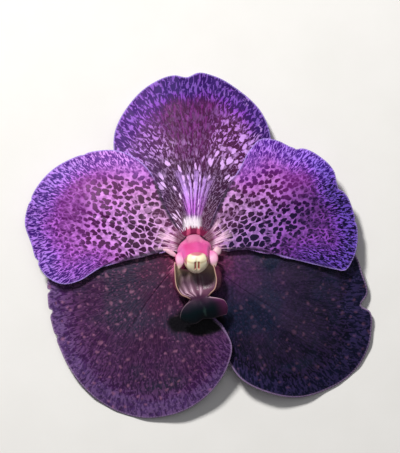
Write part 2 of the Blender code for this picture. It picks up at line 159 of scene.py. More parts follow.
def closed_sheet(name, upper, thickness, marks, stands_for):
    """Upper face, lower face and edge of a sheet. The lower face is the upper one moved
    against its normal, the cross product of the grid's two directions, by the thickness, but
    never below the table."""
    rows, columns = upper.shape[:2]
    normal = np.cross(np.gradient(upper, axis=0), np.gradient(upper, axis=1))
    normal /= np.linalg.norm(normal, axis=2, keepdims=True)
    lower = upper - normal * thickness[..., None]
    lower[..., 2] = np.maximum(lower[..., 2], 0.0)
    index = np.arange(rows * columns).reshape(rows, columns)
    quads = [index[:-1, :-1], index[1:, :-1], index[1:, 1:], index[:-1, 1:]]
    quads = np.stack(quads, axis=-1).reshape(-1, 4)
    loop = np.concatenate([index[:-1, 0], index[-1, :-1], index[:0:-1, -1], index[0, :0:-1]])
    following = np.roll(loop, -1)
    under = rows * columns
    edge = np.column_stack([loop, loop + under, following + under, following])
    faces = np.vstack([quads, quads[:, ::-1] + under, edge])
    points = np.vstack([upper.reshape(-1, 3), lower.reshape(-1, 3)])
    both = {mark: np.tile(np.asarray(values).ravel(), 2) for mark, values in marks.items()}
    both["upper"] = np.repeat([1.0, 0.0], under)
    return add_piece(name, points, faces, both, stands_for)


# %% [markdown]
# A stem or a knob is a pile of rings, with a point that closes each end. Screw or skin
# modifiers give such forms too, but here every ring may have a shape of its own.

# %% A closed pile of rings


def closed_rings(name, solids, stands_for):
    """Solids made of rings of points, each ring joined to the next, with the middle point of
    the first and last ring closing the ends. solids is a list of (rings, marks)."""
    all_points, all_faces, all_marks, first = [], [], {}, 0
    for rings, marks in solids:
        count, around = rings.shape[:2]
        index = np.arange(count * around).reshape(count, around)
        turned = np.roll(index, -1, axis=1)
        sides = [index[:-1], turned[:-1], turned[1:], index[1:]]
        sides = np.stack(sides, axis=-1).reshape(-1, 4)
        none = np.full(around, -1 - first)
        ends = count * around + np.array([0, 1])
        start = np.column_stack([turned[0], index[0], np.full(around, ends[0]), none])
        stop = np.column_stack([index[-1], turned[-1], np.full(around, ends[1]), none])
        points = np.vstack([rings.reshape(-1, 3), rings[0].mean(0), rings[-1].mean(0)])
        all_points.append(points)
        all_faces.append(np.vstack([sides, start, stop]) + first)
        for mark, values in marks.items():
            values = np.broadcast_to(values, (count, around))
            tips = [values[0].mean(), values[-1].mean()]
            all_marks.setdefault(mark, []).append(np.concatenate([values.ravel(), tips]))
        first += len(points)
    marks = {mark: np.concatenate(values) for mark, values in all_marks.items()}
    return add_piece(name, np.vstack(all_points), np.vstack(all_faces), marks, stands_for)


# %% [markdown]
# ## The blades
# A sepal or petal is a fleshy blade less than a millimetre thick. Its veins leave the claw, a
# narrow arc on the bloom's hub, side by side, and fan out to the rim. That fan is the grid:
# one direction runs out along a vein, the other from vein to vein. Sculpting or cloth could
# give the same outline, but only a grid of veins lets the spots and streaks follow the veins.

# %% What each blade is
CLAW_RADIUS = 5.0
VEIN_BEND = 0.34
ACROSS, OUTWARDS = 360, 64
RIM_STEPS = 24

# claw: middle and spread of its arc in degrees. level and lowest: heights of the claw and of
# the lowest point. phase: shifts the waves. lifts: x, y, radius and height of broad swells.
# nicks: x, y, depth and width of tears. rim: points in plan from one end of the claw round
# to the other.
BLADES = {
    "dorsal_sepal": dict(
        claw=(90.0, 86.0), level=15.0, lowest=0.6, phase=0.6, thickness=0.9, lifts=[],
        nicks=[],
        rim=[
            (9.5, 9.0), (16.5, 15.0), (22.3, 24.0), (24.8, 34.5), (22.3, 43.0), (15.5, 50.3),
            (7.5, 55.15), (2.2, 56.22), (-1.6, 54.7), (-5.2, 55.3), (-12.7, 52.6),
            (-20.0, 45.7), (-24.6, 36.5), (-23.8, 26.0), (-18.0, 16.8), (-9.5, 9.6),
        ],
    ),
    "left_petal": dict(
        claw=(154.0, 64.0), level=17.0, lowest=5.4, phase=1.9, thickness=0.8, lifts=[],
        nicks=[(-48.9, -3.4, 0.7, 0.7), (-50.9, 15.7, 0.4, 0.8), (-34.5, 30.3, 0.35, 0.9)],
        rim=[
            (-5.6, 8.2), (-9.5, 14.8), (-11.6, 20.8), (-14.1, 25.2), (-17.8, 28.6),
            (-23.5, 31.1), (-30.5, 31.1), (-37.5, 29.0), (-43.6, 25.6), (-48.6, 20.3),
            (-51.6, 14.2), (-52.67, 8.6), (-50.5, 1.5), (-49.2, -3.0), (-45.8, -8.3),
            (-40.6, -10.6), (-35.5, -9.4), (-30.0, -5.9), (-22.0, -3.4), (-14.0, -1.4),
            (-9.2, -0.2),
        ],
    ),
    "right_petal": dict(
        claw=(27.0, 66.0), level=17.0, lowest=7.2, phase=0.4, thickness=0.8, lifts=[],
        nicks=[(33.0, 31.9, 0.6, 0.8), (46.6, 19.6, 0.5, 0.8), (51.5, 9.0, 0.35, 0.9)],
        rim=[
            (10.6, -0.4), (16.6, 0.3), (23.5, -0.9), (31.0, -2.8), (38.5, -4.6), (44.6, -6.0),
            (47.9, -6.4), (50.6, -2.8), (52.3, 4.4), (51.1, 11.6), (48.6, 17.3),
            (45.7, 20.4), (44.6, 24.8), (40.4, 29.3), (35.5, 31.9), (31.4, 32.3),
            (26.6, 34.4), (21.0, 34.8), (17.4, 31.2), (14.3, 25.6), (10.6, 20.0),
            (7.9, 14.8), (5.4, 9.4),
        ],
    ),
    "left_lateral_sepal": dict(
        claw=(222.0, 76.0), level=15.0, lowest=0.6, phase=2.6, thickness=0.9,
        lifts=[(9.5, -29.0, 13.0, 2.0), (-8.0, -53.0, 14.0, 0.9)],
        nicks=[(-45.6, -12.9, 1.1, 0.5), (-45.0, -19.6, 1.2, 0.8), (-43.0, -27.4, 0.9, 0.7)],
        rim=[
            (-9.0, 0.6), (-20.0, 1.6), (-32.0, 0.6), (-41.0, -3.6), (-45.3, -9.0),
            (-45.5, -15.0), (-44.4, -22.5), (-42.0, -30.2), (-38.0, -38.2), (-31.9, -45.5),
            (-24.6, -50.5), (-15.5, -53.1), (-7.5, -52.35), (0.5, -49.0), (6.8, -43.5),
            (11.0, -36.2), (12.0, -29.6), (9.4, -24.6), (4.6, -20.2), (0.6, -14.6),
            (-1.2, -8.6),
        ],
    ),
    "right_lateral_sepal": dict(
        claw=(318.0, 76.0), level=15.0, lowest=0.6, phase=0.9, thickness=0.9,
        lifts=[(9.5, -29.0, 13.0, -2.7), (46.0, 3.0, 10.0, -0.9)],
        nicks=[],
        rim=[
            (2.4, -8.2), (4.7, -13.0), (5.9, -18.8), (7.6, -26.0), (10.6, -33.6),
            (15.0, -40.3), (24.0, -45.0), (34.0, -46.7), (43.5, -44.3), (50.6, -40.0),
            (55.2, -34.0), (57.37, -25.5), (56.7, -19.4), (53.8, -17.6), (55.9, -14.0),
            (54.2, -7.6), (51.8, -1.6), (47.5, 2.6), (38.0, 2.4), (27.0, 2.6), (17.0, 1.8),
            (9.2, 0.6),
        ],
    ),
}
print("blades:", ", ".join(BLADES))

# %% [markdown]
# In plan each vein is a Bezier curve with three points: its start on the claw, a point ahead
# of the start in the claw's own direction, and its end on the rim. Straight veins would cross
# where the blade is narrow; this bend keeps them apart and gives them the real sweep. The rim
# has a few small tears, as petals in the open do.

# %% Veins in plan
VEINS = np.linspace(0.0, 1.0, ACROSS + 1)


def nicked(rim, nicks):
    """The rim drawn in at small tears: by depth times exp(-(distance / width)^2), towards the
    hub, at each nick's place."""
    inwards = -rim / np.linalg.norm(rim, axis=1, keepdims=True)
    for x, y, depth, width in nicks:
        away = np.linalg.norm(rim - (x, y), axis=1)
        rim = rim + inwards * (depth * np.exp(-((away / width) ** 2)))[:, None]
    return rim


def vein_plan(blade):
    """A blade in plan as (outwards, across, 2) points: (1-t)^2 claw + 2t(1-t) bend + t^2 rim,
    with t closer together towards the rim. Also t, as a column, and the veins' lengths as
    shares of the longest."""
    rim = evenly_spaced(smooth_line(blade["rim"], RIM_STEPS), ACROSS + 1)
    middle, spread = blade["claw"]
    angle = np.radians(middle + spread * (VEINS - 0.5))
    claw = CLAW_RADIUS * np.column_stack([np.cos(angle), np.sin(angle)])
    heading = np.radians(middle)
    reach = np.linalg.norm(rim - claw, axis=1)[:, None]
    bend = claw + VEIN_BEND * reach * (np.cos(heading), np.sin(heading))
    rim = nicked(rim, blade["nicks"])
    t = (1.0 - (1.0 - np.linspace(0.0, 1.0, OUTWARDS + 1)) ** 1.35)[:, None, None]
    plan = (1.0 - t) ** 2 * claw + 2.0 * t * (1.0 - t) * bend + t**2 * rim
    return plan, t[:, :, 0], (reach / reach.max())[:, 0]


for blade_name, blade in BLADES.items():
    span = np.ptp(vein_plan(blade)[0].reshape(-1, 2), axis=0)
    print(f"{blade_name}: {span[0]:.1f} by {span[1]:.1f} mm in plan")

# %% [markdown]
# In height a blade falls away from the claw as the square of the distance from the bloom's
# middle, with four gentle waves along the rim. The real blades also have a groove along the
# middle vein and small ripples where the margin grew faster than the rest, both too fine for
# the solids. A formula was chosen over a bend modifier, because it can be scaled to end at
# the height where the solid of the blade ends.

# %% Height of a blade
WAVE_HEIGHT = 0.8
RIPPLE_HEIGHT = 0.16
GROOVE_DEPTH = 0.28
GROOVE_WIDTH = 0.012


def blade_drop(blade, plan, t, size, rim_mm):
    """How far each point lies below the claw. The square of the distance, with four waves and
    some broad bell-shaped lifts, is scaled to reach the lowest height; then come the ripples,
    a sine whose own phase swings, and the groove, a bell curve over the middle vein."""
    full = blade["level"] - blade["lowest"]
    fall = (plan**2).sum(axis=2) - CLAW_RADIUS**2
    drop = fall / fall.max() * full
    drop -= WAVE_HEIGHT * np.sin(8.0 * math.pi * VEINS + blade["phase"]) * t**3 * size
    for x, y, radius, height in blade["lifts"]:
        drop -= height * np.exp(-((plan - (x, y)) ** 2).sum(axis=2) / radius**2) * t**2
    drop *= full / drop.max()
    ripple = np.sin(34.0 * math.pi * VEINS + 3.0 * np.sin(9.0 * VEINS + blade["phase"]))
    calm_ends = np.sin(math.pi * VEINS) ** 0.5
    drop += RIPPLE_HEIGHT * ripple * calm_ends * t**6 * eased(rim_mm, 8.0, 2.0)
    groove = np.exp(-(((VEINS - 0.5) / GROOVE_WIDTH) ** 2))
    drop += GROOVE_DEPTH * groove * eased(t, 0.05, 0.25) * eased(t, 0.95, 0.5)
    return np.minimum(drop, full)


# %% [markdown]
# The colours of a petal follow the petal: spots near the claw, a flush in the middle and fine
# marks at the margin. The mesh therefore carries a few numbers at each point, such as the
# distance from the rim, and the nodes draw from them, sharp at any size.

# %% A blade's grid and its marks


def edge_distance(grid, edge):
    """How far each point of the grid is from the nearest point of the edge."""
    distance = np.empty(grid.shape[:2])
    distance[:] = [np.linalg.norm(row[:, None] - edge, axis=2).min(axis=1) for row in grid]
    return distance


def blade_grid(blade):
    """Upper face of a blade as (outwards, across, 3) points, with the marks that its material
    reads: vein, from 0 to 1 across the blade; out_mm along the vein; rim_mm, the distance
    from the nearest edge; zone, from 0 at the claw to 1 at the margin; flat_x and flat_y,
    along and across the blade; high, which is flat_y turned so that it grows towards the
    bloom's top; and bloom_x and bloom_y, the place on the bloom."""
    plan, t, size = vein_plan(blade)
    edge = np.concatenate([plan[::2, 0], plan[-1, ::2], plan[::2, -1]])
    rim_mm = edge_distance(plan, edge)
    steps = np.linalg.norm(np.diff(plan, axis=0), axis=2)
    out_mm = np.vstack([np.zeros(ACROSS + 1), np.cumsum(steps, axis=0)])
    margin = eased(rim_mm, 11.0, 1.0) * eased(out_mm, 14.0, 34.0)
    heading = np.radians(blade["claw"][0])
    flat_y = plan @ (-np.sin(heading), np.cos(heading))
    marks = {
        "vein": np.broadcast_to(VEINS, rim_mm.shape),
        "out_mm": out_mm,
        "rim_mm": rim_mm,
        "zone": np.minimum(1.0, 0.72 * out_mm / 48.0 + 0.4 * margin),
        "flat_x": plan @ (np.cos(heading), np.sin(heading)),
        "flat_y": flat_y,
        "high": flat_y * np.sign(np.cos(heading)),
        "bloom_x": plan[..., 0],
        "bloom_y": plan[..., 1],
    }
    return np.dstack([plan, blade["level"] - blade_drop(blade, plan, t, size, rim_mm)]), marks


# %% [markdown]
# The margin of a petal is thinner than its middle and ends in a round edge, not a cut one.
# The thickness therefore falls to two thirds over the last few millimetres, and then to
# almost nothing as a quarter ellipse. A solidified sheet would have a square edge, which
# catches the light as a hard line.

# %% Make the five blades


def round_edge(rim_mm, radius, least):
    """A quarter ellipse sqrt(1 - (1 - d)^2), with d from 0 at the edge to 1 at the radius."""
    near = np.clip(rim_mm / radius, 0.0, 1.0)
    return np.maximum(np.sqrt(1.0 - (1.0 - near) ** 2), least)


def blade_thickness(full, rim_mm):
    """Two thirds of the full thickness at the margin, rising over 8 mm, with a round edge."""
    return full * (0.68 + 0.32 * eased(rim_mm, 0.0, 8.0)) * round_edge(rim_mm, 0.35, 0.08)


blades = {}
for blade_name, blade in BLADES.items():
    blade_points, blade_marks = blade_grid(blade)
    blades[blade_name] = closed_sheet(
        "fine_" + blade_name,
        blade_points,
        blade_thickness(blade["thickness"], blade_marks["rim_mm"]),
        blade_marks,
        [blade_name],
    )

# %% [markdown]
# ## The lip
# The lip is one sheet as well. Behind, its sides stand up as the walls of a cup, and past the
# neck they roll down into the two wings of the front lobe. Along the length the sheet follows
# a list of stations, and across it is a half ellipse, so its second direction is an angle. It
# could be sculpted, but a station is a row of numbers that is easily compared with the solid.

# %% Make the lip
# Each station: share of the length, y, height, half width, and height of the side above.
LIP_STATIONS = np.array([
    (0.00, 4.0, 17.3, 5.4, 3.4), (0.12, 3.1, 16.6, 5.9, 4.6), (0.28, 0.2, 16.3, 6.5, 5.0),
    (0.42, -2.7, 16.9, 5.5, 4.4), (0.50, -4.1, 18.4, 3.5, 2.4), (0.56, -5.0, 19.8, 2.7, 0.8),
    (0.66, -6.2, 20.7, 5.0, -0.6), (0.77, -8.0, 20.8, 7.1, -1.8), (0.89, -9.9, 20.0, 7.6, -2.6),
    (1.00, -11.4, 18.5, 6.6, -2.8),
])
LIP_CUP_MIDDLE = (0.4, -9.7)
LIP_TURN = 10.0
FRONT_LOBE_TURN = 9.0
NECK = 0.54
SHOULDER_REACH = 3.3
KEEL_HEIGHT = 0.7
RIDGE_HEIGHT = 0.42
RIDGES = (-0.5, -0.33, -0.16, 0.12)


def turned(points, degrees, middle=(0.0, 0.0)):
    """Points turned about the upright axis, then moved to the middle."""
    c, s = math.cos(math.radians(degrees)), math.sin(math.radians(degrees))
    x, y, z = np.moveaxis(points, -1, 0)
    return np.stack([c * x - s * y + middle[0], s * x + c * y + middle[1], z], axis=-1)


def lip_grid(steps_along, steps_across):
    """Upper face of the lip. x = half width sin(turn) and z = height + side (1 - cos(turn)),
    with the turn from -90 to 90 degrees. The cup's walls belly out between floor and rim;
    the front lobe has a keel, a notch and a longer right corner; shoulders reach back beside
    the column, and ridges run along the inside of the cup."""
    share, y, z, half_width, side = smooth_line(LIP_STATIONS, 12).T
    along = np.linspace(0.0, 1.0, steps_along + 1)
    y, z, half_width, side = (
        np.interp(along, share, values)[:, None] for values in (y, z, half_width, side)
    )
    across = np.linspace(-1.0, 1.0, steps_across + 1)[None, :]
    turn = across * math.pi / 2
    back = np.clip(1.0 - along[:, None] / 0.3, 0.0, 1.0)
    front = np.clip((along[:, None] - NECK) / (1.0 - NECK), 0.0, 1.0)
    neck = np.interp(NECK, along, y[:, 0])
    belly = eased(along[:, None], 0.08, 0.25) * eased(along[:, None], 0.54, 0.44)
    belly = belly * (0.30 * np.sin(2 * turn) ** 2 - 0.05 * across**6) * (1.0 + 0.4 * np.sin(turn))
    x = half_width * np.sin(turn) * (1.0 + belly)
    corner = np.where(across > 0.0, 0.6, 1.5) * across**4 - 2.0 * np.maximum(across, 0.0) ** 2
    middle = 0.8 * np.exp(-(((across + 0.08) / 0.16) ** 2)) - 1.1 * (1.0 - across**2)
    y = y + front**3 * (corner + middle)
    y = y + SHOULDER_REACH * back * across**2
    z = z + side * (1.0 - np.cos(turn))
    z = z + KEEL_HEIGHT * np.exp(-((across / 0.13) ** 2)) * np.sin(math.pi * front)
    inside = eased(along[:, None], 0.12, 0.26) * eased(along[:, None], 0.56, 0.46)
    ridges = sum(np.exp(-(((across - ridge) / 0.045) ** 2)) for ridge in RIDGES)
    z = z + RIDGE_HEIGHT * ridges * inside
    lean = np.radians(FRONT_LOBE_TURN) * np.minimum(1.0, front / 0.5)
    leaning_x = x * np.cos(lean) - (y - neck) * np.sin(lean)
    leaning_y = x * np.sin(lean) + (y - neck) * np.cos(lean) + neck
    marks = {
        "along": np.broadcast_to(along[:, None], x.shape),
        "across": np.broadcast_to(across, x.shape),
        "ridge": ridges * eased(along[:, None], 0.26, 0.42) * eased(along[:, None], 0.54, 0.47),
    }
    return np.dstack([leaning_x, leaning_y, z + 0.0 * x]), marks


lip_points, lip_marks = lip_grid(150, 130)
lip_edge = np.concatenate([lip_points[:, 0], lip_points[-1], lip_points[:, -1], lip_points[0]])
lip_rim = edge_distance(lip_points, lip_edge)
lip_marks["rim_mm"] = lip_rim
lip = closed_sheet(
    "fine_lip",
    turned(lip_points, LIP_TURN, LIP_CUP_MIDDLE),
    0.9 * (0.6 + 0.4 * eased(lip_rim, 0.0, 3.0)) * round_edge(lip_rim, 0.4, 0.1),
    lip_marks,
    ["lip"],
)

# %% [markdown]
# Behind the cup hangs the spur, a short blunt nectar tube. It is a pile of rings round an
# upright line, each with the radius of an ellipse at its height, and its top end is sunk in
# the floor of the cup. A stretched sphere would look the same, but the rings can carry the
# marks that the lip's material reads.

# %% Make the spur


def round_rings(radii, centre, around, count):
    """An ellipsoid as rings: at angle b from the lower pole to the upper one, the ring has the
    radii times sin(b) and lies at -cos(b) times the height radius."""
    b = np.linspace(0.0, math.pi, count + 2)[1:-1, None]
    a = np.linspace(0.0, 2 * math.pi, around, endpoint=False)[None, :]
    x = radii[0] * np.sin(b) * np.cos(a) + centre[0]
    y = radii[1] * np.sin(b) * np.sin(a) + centre[1]
    z = -radii[2] * np.cos(b) + 0.0 * a + centre[2]
    return np.dstack([x, y, z])


spur_rings = round_rings((1.5, 1.5, 4.3), (0.5, 0.6, 11.7), 40, 40)
spur_rings = turned(spur_rings, LIP_TURN, LIP_CUP_MIDDLE)
spur_marks = {"along": (spur_rings[..., 2] - 7.4) / 8.6, "rim_mm": 9.0}
spur = closed_rings("fine_spur", [(spur_rings, spur_marks)], ["lip"])

# %% [markdown]
# Beside the column the lip's two side lobes end in fleshy, almost white ears, and the petals'
# claws curl up in a small roll where they meet the lateral sepals. Each is a pile of rings
# round a short curved line, thick in the middle and closed at both ends, sunk a little way
# into what carries it. A curve with a round bevel would be as high as it is wide; these are
# flatter.

# %% Make the ears of the side lobes and the rolls of the claws


def roll_rings(path, widths, height_share, around, count):
    """A bean along a path of points: the radius across is the widths' curve times the half
    circle sqrt(1 - (2s - 1)^2), and the height is that times the height share."""
    line = evenly_spaced(smooth_line(path, 12), count + 2)
    s = np.linspace(0.0, 1.0, count + 2)[1:-1, None]
    ahead = np.gradient(line, axis=0)[1:-1]
    side = np.cross(ahead, (0.0, 0.0, 1.0))
    side /= np.linalg.norm(side, axis=1, keepdims=True)
    width = np.interp(s, np.linspace(0.0, 1.0, len(widths)), widths)
    width = width * (1.0 - (2.0 * s - 1.0) ** 2) ** 0.5
    a = np.linspace(0.0, 2 * math.pi, around, endpoint=False)[None, :]
    place = line[1:-1, None] + (width * np.cos(a))[..., None] * side[:, None]
    place[..., 2] += height_share * width * np.sin(a)
    return place, {"along": s + 0.0 * a, "across": np.sin(a) + 0.0 * s}


ears = closed_rings(
    "fine_side_lobe_ears",
    [
        roll_rings([(-4.0, -0.6, 19.2), (-4.7, -2.2, 20.6), (-4.8, -4.0, 21.1), (-5.2, -5.8, 20.9)],
                   (1.2, 1.6, 1.3, 0.5), 0.45, 36, 40),
        roll_rings([(4.2, -0.2, 19.0), (5.2, -1.8, 20.4), (5.6, -3.5, 20.9), (6.2, -5.4, 20.7)],
                   (1.3, 1.9, 1.6, 0.5), 0.45, 36, 40),
    ],
    ["lip"],
)
claw_rolls = closed_rings(
    "fine_claw_rolls",
    [
        roll_rings([(8.4, 0.3, 16.8), (7.5, 0.0, 17.2), (6.6, -0.5, 17.4), (5.6, -1.0, 17.3)],
                   (1.1, 1.35, 1.3, 1.0), 0.6, 32, 36),
        roll_rings([(-10.2, 0.3, 16.5), (-8.6, 0.0, 16.9), (-7.0, -0.9, 17.2), (-5.5, -2.0, 17.6)],
                   (0.4, 0.7, 0.8, 0.8), 0.5, 32, 36),
    ],
    ["right_petal", "left_petal"],
)

# %% [markdown]
# ## The column
# The column is the bloom's pillar of stamen and pistil in one. Its mid line rises from the hub
# and leans forward, as a Bezier curve. The rings stand across that line, so each needs a frame
# of its own: one direction to the right, one to the back, and the line's own direction. The
# cap and the pollinia stand in the same frame at its end, so it is worth a function.

# %% Make the column
COLUMN_CURVE = np.array([(0.0, 0.0, 15.3), (0.0, 0.0, 19.5), (0.0, -3.0, 23.0)])
COLUMN_TURN = 3.0


def column_place(share, right, back, up):
    """Points given as distances right, back and up from the mid line at a share of its length.
    The line is (1-s)^2 A + 2s(1-s) B + s^2 C, and its direction is the curve's slope."""
    share = np.asarray(share, float)[..., None]
    a, b, c = COLUMN_CURVE
    middle = (1 - share) ** 2 * a + 2 * share * (1 - share) * b + share**2 * c
    ahead = (1 - share) * (b - a) + share * (c - b)
    ahead = ahead / np.linalg.norm(ahead, axis=-1, keepdims=True)
    to_back = np.cross(ahead, (1.0, 0.0, 0.0))
    right, back, up = (np.asarray(v, float)[..., None] for v in (right, back, up))
    place = middle + right * np.array([1.0, 0.0, 0.0]) + back * to_back + up * ahead
    return turned(place, COLUMN_TURN)


def column_rings(around, count):
    """Rings from the flat foot to the flat end. The radius falls from 4.7 to 3.8 mm and the
    depth to 0.86 of it. A collar, a bell curve of 0.45 to 0.75 mm over the height, lies on
    the claws: low over the sepals and, where |cos(turn)| is large, higher over the petals.
    Above it the sides swell to blunt wings and the back flattens; the stigma is a hollow in
    the front."""
    height = np.linspace(0.0, 1.0, count)[:, None]
    turn = np.linspace(0.0, 2 * math.pi, around, endpoint=False)[None, :]
    share = np.clip((height - 0.06) / 0.88, 0.0, 1.0)
    ends = np.minimum(1.0, np.minimum(height, 1.0 - height) / 0.06)
    over_petals = eased(np.cos(turn), 0.38, 0.48) + eased(np.cos(turn), -0.40, -0.50)
    over_petals = over_petals * eased(np.sin(turn), -0.25, -0.1)
    collar = np.exp(-(((share - 0.09 - 0.17 * over_petals) / 0.07) ** 2))
    collar = (0.45 + 0.3 * over_petals) * collar
    wings = 0.4 * np.exp(-(((share - 0.42) / 0.17) ** 2)) * np.cos(turn) ** 4
    flat = 1.2 * eased(share, 0.12, 0.3) * eased(np.sin(turn), 0.3, 0.95)
    radius = ends * (4.7 - 0.9 * share)
    depth = radius * (1.0 - 0.14 * share) - flat
    front = np.exp(-(((turn - 1.5 * math.pi) / 0.42) ** 2))
    hollow = 1.5 * front * np.exp(-(((share - 0.7) / 0.2) ** 2)) * ends
    groove = 0.10 * np.cos(7 * turn) * np.sin(math.pi * share)
    right = (radius - groove + wings + collar) * np.cos(turn)
    back = (depth - groove - hollow + collar) * np.sin(turn)
    share = share + 0.0 * turn
    return column_place(share, right, back, 0.0 * right), {"along": share, "turn": turn}


column = closed_rings("fine_column", [column_rings(96, 90)], ["column"])

# %% [markdown]
# The anther cap is a little hollow helmet on the end of the column, made of two swollen
# lobes with a groove between them and a short beak in front. Its rings run down the inside of
# the hollow to the rim and up the outside to the crown in one go, so that the helmet is a
# closed shell. A boolean cut could hollow it out too, but leaves an uneven mesh.

# %% Make the anther cap


def cap_rings(around, count):
    """Rings of the helmet: from the top of its hollow down to the rim, and over the outside
    up to the crown. The outside is cos(dome)^0.7 wide and sin(dome) high; the two lobes add
    a little height on each side of the groove, and two slits cut the front."""
    turn = np.linspace(0.0, 2 * math.pi, around, endpoint=False)[None, :]
    hollow = np.linspace(0.0, 1.0, count // 3)[1:, None] * math.pi / 2
    inner_x = 2.8 * np.sin(hollow) * np.cos(turn)
    inner_y = 2.35 * np.sin(hollow) * np.sin(turn)
    inner_z = 0.3 + 2.0 * np.cos(hollow) + 0.0 * turn
    dome = np.linspace(0.0, 1.0, count)[:-1, None] ** 1.2 * math.pi / 2
    radius = np.cos(dome) ** 0.7
    beak = 0.75 * np.maximum(0.0, -np.sin(turn)) ** 4
    x = 3.8 * radius * np.cos(turn)
    y = 3.6 * radius * np.sin(turn) - beak * radius
    groove = 0.3 * np.exp(-((x / 0.4) ** 2)) * eased(-y, -3.3, -2.6)
    lobes = sum(np.exp(-(((x - s) / 0.95) ** 2) - ((y - 2.3) / 0.8) ** 2) for s in (-1.25, 1.25))
    slits = sum(np.exp(-(((x - s) / 0.2) ** 2)) for s in (-0.55, 0.55))
    slits = 0.45 * slits * eased(-y, -2.0, -1.5) * eased(-y, 1.2, 0.7)
    z = 0.3 + (2.75 - groove) * np.sin(dome) - slits + 0.15 * lobes
    right = np.vstack([inner_x, x])
    back = np.vstack([inner_y, y])
    up = np.vstack([inner_z, z])
    place = column_place(np.ones(right.shape), right, back, up)
    return place, {"cap_x": right, "cap_y": back}


cap = closed_rings("fine_anther_cap", [cap_rings(120, 90)], ["anther_cap"])

# %% [markdown]
# Under the cap lie the pollinia: two waxy balls of pollen on one strap, with a sticky disc
# that would glue them to a visiting insect. They are four small solids that meet, in one
# piece, and each ball has the cleft that a vanda's has. Metaballs would melt them together;
# as plain solids they keep their outlines.

# %% Make the pollinia


def pollen_rings(radii, centre, cleft):
    """An ellipsoid on the column's end; the cleft draws in the back by its depth times
    exp(-(x / 0.25)^2)."""
    rings = round_rings(radii, (0.0, 0.0, 0.0), 32, 24)
    x, y, z = np.moveaxis(rings, -1, 0)
    y = y - cleft * np.exp(-((z / 0.25) ** 2)) * (y > 0.0) * y
    place = column_place(np.ones(x.shape), x + centre[0], y + centre[1], z + centre[2])
    return place, {}


pollinia = closed_rings(
    "fine_pollinia",
    [
        pollen_rings((0.8, 0.8, 0.8), (-0.95, 0.2, 1.1), 0.35),
        pollen_rings((0.8, 0.8, 0.8), (0.95, 0.2, 1.1), 0.35),
        pollen_rings((0.95, 0.42, 0.42), (0.0, 0.1, 0.95), 0.0),
        pollen_rings((0.5, 0.9, 0.42), (0.0, -0.55, 0.85), 0.0),
    ],
    ["pollinia"],
)

# %% [markdown]
# ## The stalk
# The ovary and flower stalk hang from the hub and bend back under the bloom. The ovary has six
# ribs, and a vanda's stalk twists by half a turn as the bud opens, which brings the lip to the
# bottom. So the profile is a ribbed circle that turns as it travels along the curve. A curve
# object with tilt could do it too; with rings the ribs are a formula that the material shares.

# %% Make the ovary and stalk
STALK_CURVE = np.array([(0.0, 0.0, 15.0), (0.0, 0.0, 2.4), (0.6, -10.0, 2.2), (3.4, -38.0, 2.1)])


def stalk_rings(around, count):
    """A ribbed circle along a cubic Bezier curve. The radius is 1.45 mm, swells to 2.3 in the
    ovary as a half cosine and flares into the hub; the ribs are 6 cosines, and they turn with
    the profile by pi over the length."""
    s = (np.linspace(0.0, 1.0, count) ** 1.3)[:, None]
    a, b, c, d = STALK_CURVE
    r = 1.0 - s
    middle = r**3 * a + 3 * r**2 * s * b + 3 * r * s**2 * c + s**3 * d
    ahead = r**2 * (b - a) + 2 * r * s * (c - b) + s**2 * (d - c)
    ahead /= np.linalg.norm(ahead, axis=1, keepdims=True)
    side = np.cross(np.cross(ahead, (1.0, 0.0, 0.0)), ahead)
    side /= np.linalg.norm(side, axis=1, keepdims=True)
    other = np.cross(ahead, side)
    swell = 0.5 + 0.5 * np.cos(math.pi * np.minimum(1.0, s / 0.6))
    flare = np.exp(-(((15.0 - middle[:, 2:]) / 1.3) ** 2))
    radius = 1.45 + 0.85 * swell + 2.4 * flare
    turn = np.linspace(0.0, 2 * math.pi, around, endpoint=False)[None, :]
    ribbed = radius * (1.0 - 0.09 * (1.0 - np.cos(6 * (turn - math.pi * s))) / 2)
    place = middle[:, None] + (ribbed * np.cos(turn))[..., None] * side[:, None]
    place = place + (ribbed * np.sin(turn))[..., None] * other[:, None]
    return place, {"along": s + 0.0 * turn, "rib": 6 * (turn - math.pi * s)}


stalk = closed_rings("fine_ovary_stalk", [stalk_rings(72, 150)], ["ovary_stalk"])

# %% [markdown]
# ## Materials
# A material here is a recipe of nodes. To keep it readable, what a node puts out is held as a
# Value: adding or multiplying two values places the Math node that does it. A recipe then reads
# as a list of formulas, each of them one mask or colour that the eye can find on the flower.

# %% Values, and recipes that add nodes


def paint(red, green, blue):
    """A colour from screen values of 0 to 255, in the linear light that shaders use."""
    share = np.array([red, green, blue]) / 255.0
    linear = np.where(share <= 0.04045, share / 12.92, ((share + 0.055) / 1.055) ** 2.4)
    return (*linear.tolist(), 1.0)


class Value:
    """What a node puts out, to be used in formulas. Each sum adds a Math node."""

    def __init__(self, recipe, socket):
        self.recipe = recipe
        self.socket = socket

    def __add__(self, other):
        return self.recipe.math("ADD", self, other)

    def __sub__(self, other):
        return self.recipe.math("SUBTRACT", self, other)

    def __rsub__(self, other):
        return self.recipe.math("SUBTRACT", other, self)

    def __mul__(self, other):
        return self.recipe.math("MULTIPLY", self, other)

    def __truediv__(self, other):
        return self.recipe.math("DIVIDE", self, other)

    def __pow__(self, other):
        return self.recipe.math("POWER", self, other)

    def __abs__(self):
        return self.recipe.math("ABSOLUTE", self)


